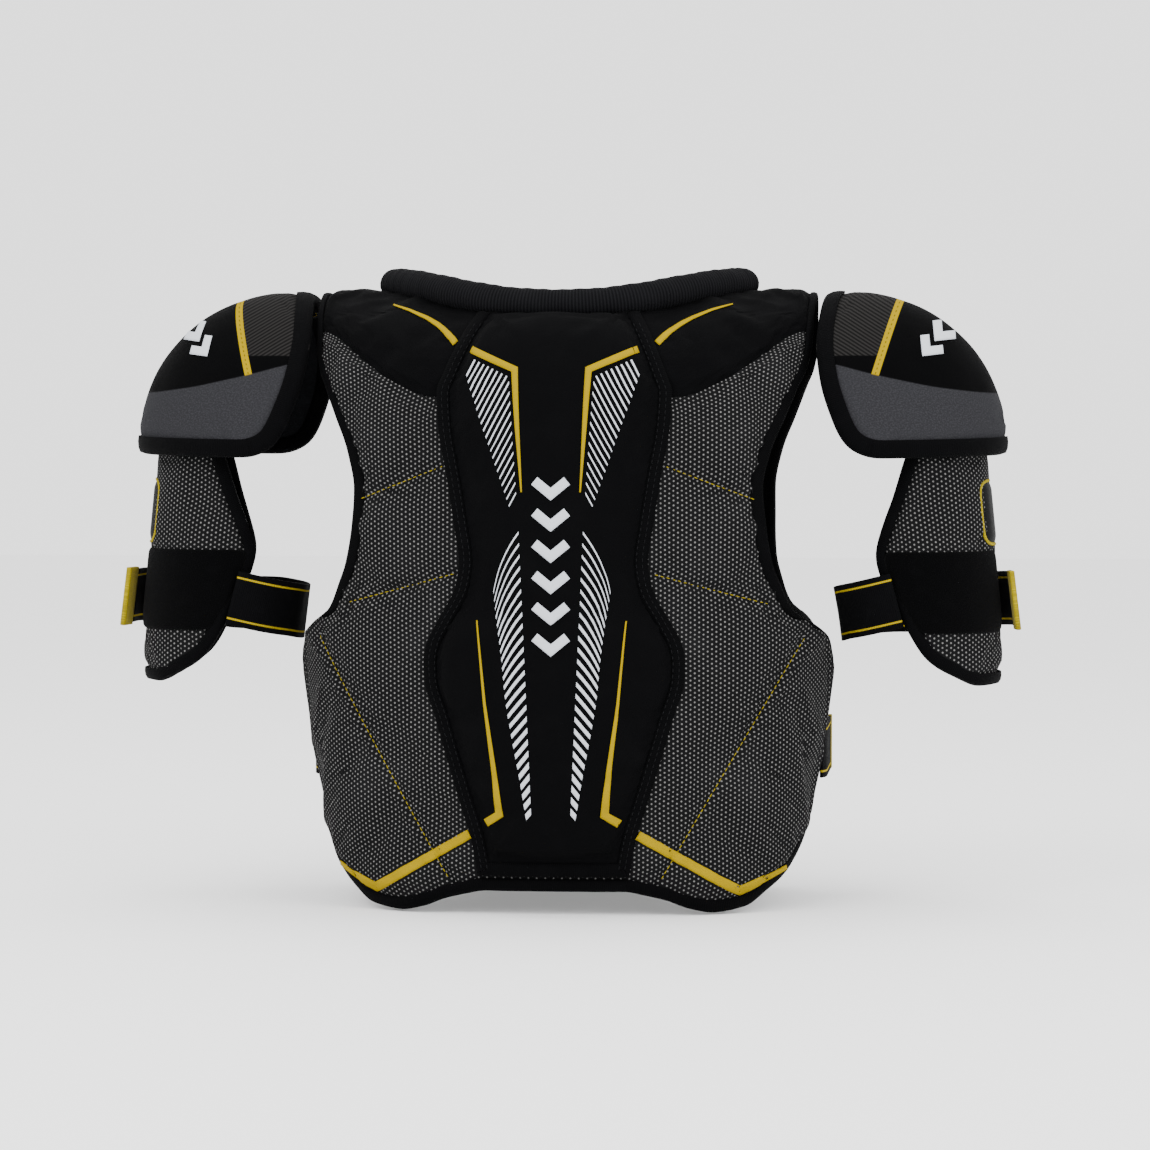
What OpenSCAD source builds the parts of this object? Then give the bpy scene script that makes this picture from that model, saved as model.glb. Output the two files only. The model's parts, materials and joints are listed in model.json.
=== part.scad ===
// Hockey shoulder pads: a padded vest in a back and a front half that hinge over the shoulders,
// two side straps, two shoulder caps, and two bicep pads with their arm straps.
// +Z is up, +Y is the wearer's front, +X the wearer's right. The origin is on the floor, under the middle.

/* [Vest] */
// Half width of the vest at its widest, low on the ribs
vest_half_w = 186.5; // [182:0.5:190]
// Depth from the middle plane to the outside of the back pads
back_depth = 118; // [112:1:124]
// Depth from the middle plane to the outside of the chest pads
chest_depth = 118; // [112:1:124]
// Height where the pads start to arch over the shoulders
arch_start = 325; // [320:1:330]
// Rise of the shoulder arch above its start
arch_rise = 100; // [96:1:104]
// Thickness of the back and chest pads
pad_t = 11.5; // [10:0.5:13]
// Width of the sewn edge binding
binding_w = 9; // [7:0.5:11]
// Half width of the neck opening at the shoulders
neck_half_w = 122; // [115:1:125]
// Radius of the rolled collar behind the neck
collar_r = 7.2; // [6.4:0.2:8]
// Height of the spine pad above the back pads
spine_rise = 14; // [11:0.5:15]
// Height of the sternum pad above the chest pads
sternum_rise = 14; // [11:0.5:15]

/* [Shoulder caps] */
// Distance from the middle plane to the cap's inner edge
cap_inner_x = 190; // [188:1:192]
// Reach of the cap outwards from its inner edge
cap_reach = 114; // [108:1:116]
// Height of the cap's rim
cap_rim_z = 310; // [306:1:314]
// Rise of the cap above its rim
cap_rise = 113; // [108:1:115]
// Half length of the cap from front to back
cap_half_y = 85; // [82:1:88]

/* [Bicep pads] */
// Distance from the middle plane to the arm's axis
arm_x = 246; // [244:1:248]
// Outer radius of the bicep pad across the arm
arm_r = 54; // [52:0.5:55]
// Outer radius of the bicep pad from front to back
arm_r_y = 55; // [53:0.5:57]
// Lowest edge of the bicep pad
bicep_bottom = 152; // [150:1:156]
// Top edge of the bicep pad, inside the cap
bicep_top = 332; // [328:1:334]

/* [Straps] */
// Width of the elastic webbing
webbing_w = 38; // [36:1:40]
// Thickness of the elastic webbing
webbing_t = 2; // [1.6:0.2:2.4]
// Tilt of the arm strap, outer end up
strap_tilt = 7; // [5:0.5:9]
// Height of the arm strap's middle at the arm's axis
arm_strap_z = 203; // [200:1:206]
// Height of the side strap's middle
side_strap_z = 105; // [95:1:115]

/* [Hidden] */

back = -1;
front = 1;
skin_t = 1.2;            // fabric cover and its backing
liner_t = 1.2;           // mesh lining against the body
gap = 0.5;               // between layers of one pad
bed = 1.6;               // between pads that only lie on each other
liner_gap = 2.4;         // between the foam and the lining behind it
edge_gap = 3.2;          // between a pad and its edge binding, along the surface
seam_gap = 0.8;          // from the seam where the fabric changes to each pad
split_gap = 0.5;         // either side of the shoulder split
arch_len = 170;          // length of the arch along the surface, from its start to the shoulder
arch_power = 2.4;        // squareness of the arch seen from the side
back_power = 2.5;        // squareness of the back seen from above
belly_power = 2.8;        // squareness of the front seen from above, at the hem
side_angle = 89;         // where a side edge lies, round from the middle
deg_per_mm = 1 / 3.1;    // angle round the vest for a length along its surface
shoulder_h = arch_start + arch_len;
front_half_w = vest_half_w - 10.5;
panel_inset = binding_w + edge_gap;          // from a half's edge to its pads, along the surface
foam_bottom = pad_t - liner_t - liner_gap;   // depth of the foam's inner face
hem_taper = 26;          // how much narrower the hem is than the ribs
rib_z = 174;             // height of the widest part
back_liner_top = 424;    // heights along the surface
front_liner_top = 366;
neck_start_back = 58;    // how far over the arch the neckline opens, in degrees
neck_start_front = 28;
neck_power = 0.45;       // roundness of the neckline
edge_proud = 0.8;        // how far a folded binding stands proud of its pad
fold = 0.6;              // how far a binding's fold is rounded in from the pad's faces

// Outlines, hand-placed: height along the surface against angle, or angle against height.
armhole = [[60, 89], [162, 89], [172, 88.3], [180, 85.6], [187, 81], [193, 74.5], [199, 67.8],
           [206, 61.8], [214, 58.4], [223, 56.2], [238, 53.5], [263, 51.3], [289, 50.6], [312, 52.5],
           [336, 57.3], [364, 63.6], [377, 66.6], [400, 69.4], [464, 70.7], [495, 70.7]];
hem = [[0, 16], [18, 16], [21.3, 14.4], [28.7, 10], [36, 3.8], [44, 0], [54, 3], [63, 13],
       [73, 24.5], [82, 40], [89, 60]];
spine_half_w = [[22, 50], [50, 55], [78, 63.4], [103, 71], [134, 80], [160, 87.5], [172, 88],
                [184, 86], [198, 79], [223, 66], [240, 63.4], [263, 66.5], [298, 72], [331, 77.6],
                [357, 79], [372, 74.5], [399, 65.5], [432, 54]];
sternum_half_w = [[50, 44], [90, 52], [130, 66], [170, 74], [210, 66], [250, 58], [300, 62],
                  [330, 56], [350, 40]];
bicep_edge = [[152, 45], [158, 60], [165, 77], [173, 88], [184, 96], [203, 108], [222, 117],
              [240, 122], [261, 114], [282, 103], [310, 90], [332, 78]];

function clamp01(t) = max(0, min(1, t));
function ease(t) = let (c = clamp01(t)) c * c * (3 - 2 * c);
function oval(s, power) = pow(max(0, 1 - pow(abs(s), power)), 1 / power);
function mixed(a, b, t) = a + (b - a) * t;

// ---- the vest's surface: angle a round from the middle, height h along the surface, depth off below it ----
function arch_angle(h) = max(0, h - arch_start) * 90 / arch_len;
function vest_z(h, off) = min(h, arch_start) + (arch_rise - off) * sin(arch_angle(h));
function vest_half(z, side) =
  let (taper = hem_taper * pow(max(0, (rib_z - z) / rib_z), 1.25))
  side == back ? vest_half_w - taper
               : mixed(front_half_w, vest_half_w, ease((z - 200) / 100)) - taper;
function vest_power(z, side) =
  side == back ? back_power : mixed(belly_power, back_power, ease((z - 120) / 140));
function vest_point(a, h, side, off) =
  let (z = vest_z(h, 0),
       depth = (side == back ? back_depth : chest_depth) - off,
       k = oval(sin(arch_angle(h)), arch_power))
  [(vest_half(z, side) - off) * sin(a),
   side * depth * k * oval(sin(a), vest_power(z, side)),
   vest_z(h, off)];

// Neckline: the angle where the vest's inner edge lies, 0 below the neck opening.
function neck_start(side) = side == back ? neck_start_back : neck_start_front;
function neck_x(h, side) =
  neck_half_w * pow(clamp01((arch_angle(h) - neck_start(side)) / (90 - neck_start(side))), neck_power);
function neck_angle(h, side) = asin(neck_x(h, side) / vest_half_w);
function edge_angle(h) = lookup(h, armhole);

// A point of a half panel: u from the middle or neckline out to the edge, h along the surface.
function panel_angle(u, h, side, inset) =
  let (inner = neck_angle(h, side) + (neck_x(h, side) > 0 ? inset * deg_per_mm : 0))
  mixed(inner, edge_angle(h) - inset * deg_per_mm, u);
function hem_h(u, inset) = lookup(u * side_angle, hem) + inset;
function fabric_change_h(u) = 354.6 + 59 * ease((u - 0.45) / 0.5);

function panel_grid(us, vs, side, off, from, to, inset) = [
  for (v = vs) [
    for (u = us)
      let (h0 = from == "hem" ? hem_h(u, inset) : fabric_change_h(u) + seam_gap,
           h1 = to == "split" ? shoulder_h - split_gap : fabric_change_h(u) - seam_gap,
           h = mixed(h0, h1, v))
      vest_point(panel_angle(u, h, side, inset), h, side, off)]];

// ---- solids from grids ----
// A closed sheet between two grids of points with the same rows and columns.
module sheet(outer, inner, flip = false) {
  rows = len(outer);
  cols = len(outer[0]);
  count = rows * cols;
  points = concat([for (r = outer) each r], [for (r = inner) each r]);
  function at(layer, r, c) = layer * count + r * cols + c;
  function two(a, b, c, d) = [[a, b, c], [a, c, d]];
  faces = concat(
    [for (r = [0 : rows - 2], c = [0 : cols - 2])
      each two(at(0, r, c), at(0, r + 1, c), at(0, r + 1, c + 1), at(0, r, c + 1))],
    [for (r = [0 : rows - 2], c = [0 : cols - 2])
      each [[at(1, r + 1, c + 1), at(1, r + 1, c), at(1, r, c)],
            [at(1, r, c + 1), at(1, r + 1, c + 1), at(1, r, c)]]],
    [for (r = [0 : rows - 2])
      each two(at(0, r, 0), at(1, r, 0), at(1, r + 1, 0), at(0, r + 1, 0))],
    [for (r = [0 : rows - 2])
      each two(at(0, r + 1, cols - 1), at(1, r + 1, cols - 1), at(1, r, cols - 1), at(0, r, cols - 1))],
    [for (c = [0 : cols - 2])
      each two(at(0, 0, c + 1), at(1, 0, c + 1), at(1, 0, c), at(0, 0, c))],
    [for (c = [0 : cols - 2])
      each two(at(0, rows - 1, c), at(1, rows - 1, c), at(1, rows - 1, c + 1), at(0, rows - 1, c + 1))]);
  polyhedron(points, flip ? [for (f = faces) [f[2], f[1], f[0]]] : faces, convexity = 6);
}

// A solid swept through rings of points, capped at both ends or closed on itself.
module ring_sweep(rings, closed = false, flip = false) {
  n = len(rings);
  m = len(rings[0]);
  points = [for (r = rings) each r];
  last = closed ? n - 1 : n - 2;
  sides = [for (i = [0 : last], j = [0 : m - 1])
    let (a = i * m + j, b = i * m + (j + 1) % m, k = (i + 1) % n,
         c = k * m + (j + 1) % m, d = k * m + j)
    each [[a, b, c], [a, c, d]]];
  caps = closed ? [] : concat(
    [for (j = [1 : m - 2]) [0, j + 1, j]],
    [for (j = [1 : m - 2]) [(n - 1) * m, (n - 1) * m + j, (n - 1) * m + j + 1]]);
  faces = concat(sides, caps);
  polyhedron(points, flip ? [for (f = faces) [f[2], f[1], f[0]]] : faces, convexity = 6);
}

// The right-hand piece as drawn, or its mirror image on the left.
module on_side(name) {
  if (name == "left") mirror([1, 0, 0]) children();
  else children();
}

function steps(n) = [for (i = [0 : n]) i / n];
// Rows of a half panel: close together where the armhole turns.
function panel_rows() = concat([for (i = [0 : 3]) 0.075 * i], [for (i = [0 : 9]) 0.29 + 0.024 * i],
                               [for (i = [0 : 5]) 0.55 + 0.09 * i]);

// ---- vest: one half panel's layers ----
module vest_layer(side, off0, off1, from, to, columns, rows, inset) {
  outer = panel_grid(steps(columns), rows, side, off0, from, to, inset);
  inner = panel_grid(steps(columns), rows, side, off1, from, to, inset);
  translate([gap / 2, 0, 0]) sheet(outer, inner, side == front);
}
module vest_cover(side) {
  color("dimgray") vest_layer(side, 0, skin_t, "hem", "change", 10, panel_rows(), panel_inset);
}
module vest_foam(side) {
  color("gainsboro")
    vest_layer(side, skin_t + gap, foam_bottom, "hem", "change", 10, panel_rows(), panel_inset);
}
module vest_yoke(side) {
  color("black") vest_layer(side, 0, foam_bottom, "change", "split", 8, steps(9), panel_inset);
}
module back_cover() { vest_cover(back); }
module back_foam() { vest_foam(back); }
module back_yoke() { vest_yoke(back); }
module chest_cover() { vest_cover(front); }
module chest_foam() { vest_foam(front); }
module front_yoke() { vest_yoke(front); }

// The lining runs right across, inside both pads, up to the height where the yokes part round the neck.
module vest_liner(side) {
  top = side == back ? back_liner_top : front_liner_top;
  us = [for (i = [-10 : 10]) i / 10];
  grid = function (off) [
    for (v = panel_rows()) [
      for (u = us)
        let (h = mixed(hem_h(abs(u), panel_inset), top, v))
        vest_point(u * (edge_angle(h) - panel_inset * deg_per_mm), h, side, off)]];
  color("darkslategray") sheet(grid(pad_t - liner_t), grid(pad_t), side == front);
}

// Edge binding of one half: along the hem from the middle, then up the side and round the armhole.
module vest_binding(side) {
  inset = binding_w;
  top_h = shoulder_h - 6;
  turn = [0.213, 0.44];  // where the armhole turns, as a share of the way up
  ups = concat([for (i = [0 : 4]) turn[0] * i / 5], [for (i = [0 : 12]) mixed(turn[0], turn[1], i / 13)],
               [for (i = [0 : 9]) mixed(turn[1], 1, i / 9)]);
  path = concat([for (u = [0 : 0.1 : 0.9]) [u, 0]], [for (v = ups) [1, v]]);
  edge = function (p, inset, off)
    let (h0 = hem_h(p[0], inset), h = mixed(h0, top_h, p[1]))
    vest_point(mixed(0, edge_angle(h) - inset * deg_per_mm, p[0]), h, side, off);
  rings = [for (p = path) [
    edge(p, 0, 0.5),
    edge(p, inset, -edge_proud),
    edge(p, inset, pad_t + edge_proud),
    edge(p, 0, pad_t - 1)]];
  color("black") translate([gap / 2, 0, 0]) ring_sweep(rings, flip = side == front);
}

// ---- centre pads: raised, flanged, sewn on top of the back and the chest ----
flange = [[0, 1], [0.35, 0.96], [0.6, 0.82], [0.78, 0.5], [0.88, 0.22], [1, 0.17]];
function centre_point(t, h, half_w, side, off) =
  let (z = vest_z(h, 0))
  vest_point(asin(max(-0.99, min(0.99, t * lookup(h, half_w) / vest_half(z, side)))), h, side, off);
module centre_layer(ts, h0, h1, rows, half_w, side, lift, sink) {
  grid = function (f) [
    for (v = steps(rows)) [for (t = ts) centre_point(t, mixed(h0, h1, v), half_w, side, -f(t))]];
  sheet(grid(lift), grid(sink), side == front);
}
columns_full = [-1, -0.88, -0.78, -0.6, -0.35, 0, 0.35, 0.6, 0.78, 0.88, 1];
columns_foam = [-0.78, -0.6, -0.35, 0, 0.35, 0.6, 0.78];
columns_plate = [-0.6, -0.35, 0, 0.35, 0.6];
plate_top = 4.2;
module centre_cover(h0, h1, rows, half_w, side, rise) {
  lift = function (t) rise * lookup(abs(t), flange);
  sink = function (t) bed + max(0, rise * lookup(abs(t), flange) - skin_t - bed);
  color("black") centre_layer(columns_full, h0, h1, rows, half_w, side, lift, sink);
}
module centre_foam(h0, h1, rows, half_w, side, rise) {
  lift = function (t) rise * lookup(abs(t), flange) - skin_t - bed;
  sink = function (t) abs(t) > 0.7 ? bed + 0.6 : plate_top + 0.6;
  color("gainsboro") centre_layer(columns_foam, h0, h1, rows, half_w, side, lift, sink);
}
module centre_plate(h0, h1, rows, half_w, side) {
  color("white")
    centre_layer(columns_plate, h0, h1, rows, half_w, side, function (t) plate_top, function (t) bed);
}
spine = [27, 428];       // lowest and highest edge, along the surface
spine_plate_top = 368;   // the plate stops below the neck
sternum = [52, 350];
foam_margin = 9;         // from a centre pad's end to its foam
plate_margin = 20;       // from a centre pad's end to its plate
module spine_cover() { centre_cover(spine[0], spine[1], 16, spine_half_w, back, spine_rise); }
module spine_foam() {
  centre_foam(spine[0] + foam_margin, spine[1] - foam_margin, 16, spine_half_w, back, spine_rise);
}
module spine_plate() { centre_plate(spine[0] + plate_margin, spine_plate_top, 12, spine_half_w, back); }
module sternum_cover() { centre_cover(sternum[0], sternum[1], 12, sternum_half_w, front, sternum_rise); }
module sternum_foam() {
  centre_foam(sternum[0] + foam_margin, sternum[1] - foam_margin, 12, sternum_half_w, front, sternum_rise);
}
module sternum_plate() {
  centre_plate(sternum[0] + plate_margin, sternum[1] - plate_margin, 10, sternum_half_w, front);
}

// ---- collar: a padded roll along the neckline behind the neck, from shoulder to shoulder ----
collar_end_x = neck_half_w - 3;
module collar_roll() {
  rings_n = 24;
  sides_n = 8;
  lift = collar_r + edge_proud;
  at = function (x)
    let (phi = mixed(neck_start_back, 90, pow(abs(x) / neck_half_w, 1 / neck_power)),
         h = arch_start + phi * arch_len / 90)
    vest_point(asin(x / vest_half_w), h, back, -lift);
  xs = [for (i = [0 : rings_n]) collar_end_x * sin(-90 + 180 * i / rings_n)];
  rings = [for (x = xs)
    let (d = at(min(x + 1, collar_end_x)) - at(max(x - 1, -collar_end_x)), t = d / norm(d),
         n0 = cross(t, [0, -0.5, 1]), across = n0 / norm(n0), up = cross(across, t))
    [for (j = [0 : sides_n - 1])
      at(x) + collar_r * cos(360 * j / sides_n) * across + collar_r * sin(360 * j / sides_n) * up]];
  color("black") ring_sweep(rings);
}

// ---- side straps: elastic webbing sewn to the back edge, running straight past the front ----
strap_x = front_half_w + 3.2;
side_strap_line = [[0, 0.5], [0, 61.3]];
side_tab_line = [[0, 64], [0, 78.6]];
// A band of webbing standing on its edge along a line drawn in plan.
module band(line, width, thickness) {
  last = len(line) - 1;
  way = [for (i = [0 : last - 1]) (line[i + 1] - line[i]) / norm(line[i + 1] - line[i])];
  off = [for (i = [0 : last])
    let (d = way[max(i - 1, 0)] + way[min(i, last - 1)]) [-d.y, d.x] * thickness / (d * d)];
  outline = concat([for (i = [0 : last]) line[i] - off[i]], [for (i = [last : -1 : 0]) line[i] + off[i]]);
  linear_extrude(width) polygon(outline);
}
module at_side() { translate([strap_x, 0, side_strap_z - webbing_w / 2]) children(); }
module side_strap() { color("black") at_side() band(side_strap_line, webbing_w, webbing_t); }
module side_strap_tab() { color("gold") at_side() band(side_tab_line, webbing_w, webbing_t + 0.6); }
// Loop patch on the front's side, under the strap.
module strap_landing() {
  margin = 4;
  h0 = side_strap_z - webbing_w / 2 - margin;
  grid = function (off) [
    for (v = steps(2)) let (h = h0 + v * (webbing_w + 2 * margin))
      [for (a = [52 : 4 : 80]) vest_point(a, h, front, off)]];
  color("black") sheet(grid(-1.8), grid(-0.9), true);
}

// ---- shoulder caps: v from back to front, w from the rim up to the inner edge ----
cap_t = 9;               // whole thickness, cover to lining
cap_shell_bottom = 4;    // depth of the moulded shell's inner face
cap_top_angle = 95;      // how far over the shoulder the ridge runs
cap_power = 2.15;        // squareness of the cap seen from the back
cap_inset_v = 0.1;       // width of the rim binding as a share of the cap
cap_inset_w = 0.08;
// The front and back edges, from the rim up to the inner edge: x and z against the share of the way.
cap_edge_x = [[0, 213], [0.12, 199], [0.24, 192], [0.45, 184], [0.68, 177.5], [1, 173.5]];
cap_edge_z = [[0, 309], [0.12, 315], [0.24, 323], [0.45, 341], [0.68, 361], [1, 386]];
function cap_round(u, w) = pow(pow(abs(u), cap_power) + pow(abs(w), cap_power), 1 / cap_power);
function cap_ridge(w) =
  let (tilt = mixed(0.5, cap_top_angle, w), k = cap_round(cos(tilt), sin(tilt)))
  [cos(tilt) / k, 0, sin(tilt) / k];
function cap_edge(w) =
  let (u = (lookup(w, cap_edge_x) - cap_inner_x) / cap_reach,
       z = (lookup(w, cap_edge_z) - cap_rim_z) / cap_rise)
  [u, sqrt(1 - pow(cap_round(u, z), 2)), z];
function cap_point(v, w, off) =
  let (a = cap_ridge(w), b = cap_edge(w), turn = acos(a * b / norm(a) / norm(b)),
       q = sin((1 - abs(v)) * turn) * a + sin(abs(v) * turn) * b, k = norm([cap_round(q[0], q[2]), q[1]]))
  [cap_inner_x + (cap_reach - off) * q[0] / k,
   (cap_half_y - off) * sign(v) * q[1] / k,
   cap_rim_z + (cap_rise - off) * q[2] / k];
function cap_inner_point(v, w, off, extra) =
  cap_point(v * (1 - cap_inset_v - extra), mixed(cap_inset_w + extra, 1 - cap_inset_w - extra, w), off);
module cap_layer(off0, off1, columns, rows) {
  grid = function (off) [
    for (w = steps(rows)) [for (i = [0 : columns]) cap_inner_point(-1 + 2 * i / columns, w, off, 0.015)]];
  sheet(grid(off0), grid(off1));
}
module cap_cover() { color("dimgray") cap_layer(0, skin_t, 12, 11); }
module cap_shell() { color("white") cap_layer(skin_t + gap, cap_shell_bottom, 12, 11); }
module cap_lining() { color("black") cap_layer(cap_shell_bottom + gap, cap_t, 12, 11); }
module cap_binding() {
  loop = concat(
    [for (i = [0 : 17]) [-1 + i / 9, 0]], [for (i = [0 : 17]) [1, i / 18]],
    [for (i = [0 : 9]) [1 - i / 5, 1]], [for (i = [0 : 17]) [-1, 1 - i / 18]]);
  rings = [for (p = loop) [
    cap_point(p[0], p[1], fold), cap_inner_point(p[0], p[1], -edge_proud, 0),
    cap_inner_point(p[0], p[1], cap_t + edge_proud, 0), cap_point(p[0], p[1], cap_t - fold)]];
  color("black") ring_sweep(rings, closed = true);
}
hinge_x = 179;           // where the cap's webbing folds at the vest's shoulder
link_half_y = 14;        // half width of the webbing inside the cap
// Webbing that joins the cap's inner edge to the vest's shoulder.
module cap_webbing() {
  reach = 22;
  drop = 7;
  color("black") translate([hinge_x - 1, -link_half_y, cap_rim_z + cap_rise - cap_t - drop])
    cube([reach, 2 * link_half_y, webbing_t]);
}
// Webbing that hangs from the cap's lining, down to the bicep pad's pivot line.
hanger_x = 272.4;
swing_z = 322;           // height of the pivot line
module bicep_hanger() {
  below = 6;
  length = 53;
  color("black")
    translate([hanger_x, -link_half_y, swing_z - below]) cube([webbing_t, 2 * link_half_y, length]);
}

// ---- bicep pads: a from -1 at the back edge to 1 at the front edge, b from the bottom to the top ----
bicep_t = 9;
bicep_inset_a = 0.1;     // width of the edge binding as a share of the pad
bicep_inset_b = 0.05;
bicep_front_share = 0.85; // the front edge stops short of where the back one does
arm_lean = 0.1;          // how far the pad leans in above the strap, per millimetre of height
function arm_axis_x(z) = arm_x - arm_lean * max(0, z - 200);
function bicep_at(g, z, off) = [arm_axis_x(z) + (arm_r - off) * cos(g), (arm_r_y - off) * sin(g), z];
function bicep_point(a, b, off) =
  let (z = mixed(bicep_bottom, bicep_top, b), g = lookup(z, bicep_edge))
  bicep_at(a < 0 ? a * g : a * g * bicep_front_share, z, off);
function bicep_inner_point(a, b, off, extra) =
  let (low = bicep_inset_b + extra)
  bicep_point(a * (1 - bicep_inset_a - extra), mixed(low, 1 - low, b), off);
module bicep_layer(off0, off1, columns, rows) {
  grid = function (off) [
    for (b = steps(rows)) [for (i = [0 : columns]) bicep_inner_point(-1 + 2 * i / columns, b, off, 0.03)]];
  sheet(grid(off0), grid(off1));
}
module bicep_cover() { color("dimgray") bicep_layer(0, skin_t, 12, 9); }
module bicep_foam() { color("gainsboro") bicep_layer(skin_t + gap, bicep_t, 12, 9); }
module bicep_binding() {
  loop = concat(
    [for (i = [0 : 13]) [-1 + i / 7, 0]], [for (i = [0 : 11]) [1, i / 12]],
    [for (i = [0 : 13]) [1 - i / 7, 1]], [for (i = [0 : 11]) [-1, 1 - i / 12]]);
  rings = [for (p = loop) [
    bicep_point(p[0], p[1], fold), bicep_inner_point(p[0], p[1], -fold, 0),
    bicep_inner_point(p[0], p[1], bicep_t + fold, 0), bicep_point(p[0], p[1], bicep_t - fold)]];
  color("black") ring_sweep(rings, closed = true);
}
// The plastic plate on the outside, and the loop patch that runs back from it to the binding.
module bicep_band(z0, z1, rows, columns, off0, off1, low, high) {
  grid = function (off) [
    for (v = steps(rows)) let (z = mixed(z0, z1, v)) [
      for (u = steps(columns)) bicep_at(mixed(low(z), high, u), z, off)]];
  sheet(grid(off0), grid(off1));
}
plate_span = [-28, 50];  // degrees round the arm
plate_z = [248, 290];
patch_end = -12;
patch_z = [188, 244];
binding_span = 13;       // degrees from the pad's edge to the patch
module bicep_plate() {
  start = function (z) plate_span[0];
  color("black") bicep_band(plate_z[0], plate_z[1], 2, 8, -2.8, -edge_proud, start, plate_span[1]);
}
module bicep_loop_patch() {
  start = function (z) binding_span - lookup(z, bicep_edge);
  color("black") bicep_band(patch_z[0], patch_z[1], 4, 8, -1.9, -edge_proud, start, patch_end);
}

// ---- arm straps, drawn flat as a line of webbing and then tilted about the arm ----
strap_root_line = [[226, -56], [212, -50], [200, -40], [192, -26], [188, -8], [188, 8]];
strap_root_tilt = 14.7;
strap_root_z = arm_strap_z + 13.3;
strap_front_line = [[188.5, 11.5], [191, 26], [199, 42], [213, 54], [232, 62], [252, 64], [272, 60],
                    [290, 49], [302, 33], [308, 14], [308.5, -4]];
strap_tab_line = [[308.8, -7], [309.6, -16], [311.5, -26]];
module arm_band(line, width, thickness, tilt, z) {
  translate([arm_x, 0, z]) rotate([0, -tilt, 0])
    translate([-arm_x, 0, -width / 2]) band(line, width, thickness);
}
module arm_strap_root() {
  color("black") arm_band(strap_root_line, webbing_w, webbing_t, strap_root_tilt, strap_root_z);
}
module arm_strap() {
  color("black") arm_band(strap_front_line, webbing_w, webbing_t, strap_tilt, arm_strap_z);
}
module arm_strap_tab() {
  color("gold") arm_band(strap_tab_line, webbing_w + 3, webbing_t + 1.4, strap_tilt, arm_strap_z);
}

on_side("left") back_cover();  // back_cover_left
on_side("right") back_cover();  // back_cover_right
on_side("left") back_foam();  // back_foam_left
on_side("right") back_foam();  // back_foam_right
vest_liner(back);  // back_liner
spine_cover();
spine_foam();
spine_plate();
on_side("left") back_yoke();  // back_yoke_left
on_side("right") back_yoke();  // back_yoke_right
on_side("left") vest_binding(back);  // back_binding_left
on_side("right") vest_binding(back);  // back_binding_right
collar_roll();
on_side("left") chest_cover();  // chest_cover_left
on_side("right") chest_cover();  // chest_cover_right
on_side("left") chest_foam();  // chest_foam_left
on_side("right") chest_foam();  // chest_foam_right
vest_liner(front);  // chest_liner
sternum_cover();
sternum_foam();
sternum_plate();
on_side("left") front_yoke();  // front_yoke_left
on_side("right") front_yoke();  // front_yoke_right
on_side("left") vest_binding(front);  // front_binding_left
on_side("right") vest_binding(front);  // front_binding_right
on_side("left") strap_landing();  // strap_landing_left
on_side("right") strap_landing();  // strap_landing_right
on_side("left") side_strap();  // side_strap_left
on_side("right") side_strap();  // side_strap_right
on_side("left") side_strap_tab();  // side_strap_tab_left
on_side("right") side_strap_tab();  // side_strap_tab_right
on_side("left") cap_cover();  // cap_cover_left
on_side("right") cap_cover();  // cap_cover_right
on_side("left") cap_shell();  // cap_shell_left
on_side("right") cap_shell();  // cap_shell_right
on_side("left") cap_lining();  // cap_lining_left
on_side("right") cap_lining();  // cap_lining_right
on_side("left") cap_binding();  // cap_binding_left
on_side("right") cap_binding();  // cap_binding_right
on_side("left") cap_webbing();  // cap_webbing_left
on_side("right") cap_webbing();  // cap_webbing_right
on_side("left") bicep_hanger();  // bicep_hanger_left
on_side("right") bicep_hanger();  // bicep_hanger_right
on_side("left") bicep_cover();  // bicep_cover_left
on_side("right") bicep_cover();  // bicep_cover_right
on_side("left") bicep_foam();  // bicep_foam_left
on_side("right") bicep_foam();  // bicep_foam_right
on_side("left") bicep_plate();  // bicep_plate_left
on_side("right") bicep_plate();  // bicep_plate_right
on_side("left") bicep_binding();  // bicep_binding_left
on_side("right") bicep_binding();  // bicep_binding_right
on_side("left") bicep_loop_patch();  // bicep_loop_patch_left
on_side("right") bicep_loop_patch();  // bicep_loop_patch_right
on_side("left") arm_strap_root();  // arm_strap_root_left
on_side("right") arm_strap_root();  // arm_strap_root_right
on_side("left") arm_strap();  // arm_strap_left
on_side("right") arm_strap();  // arm_strap_right
on_side("left") arm_strap_tab();  // arm_strap_tab_left
on_side("right") arm_strap_tab();  // arm_strap_tab_right
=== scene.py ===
"""Looks for the hockey shoulder pads: quilted mesh and knit pads, printed marks, woven bindings, webbing.

Lengths in the tables and functions below are millimetres; meshes are made in metres.
The surface functions are the same ones that the solid parts follow.
"""

import json
import math

import bmesh
import bpy
import numpy as np
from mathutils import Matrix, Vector
from mathutils.bvhtree import BVHTree

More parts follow.
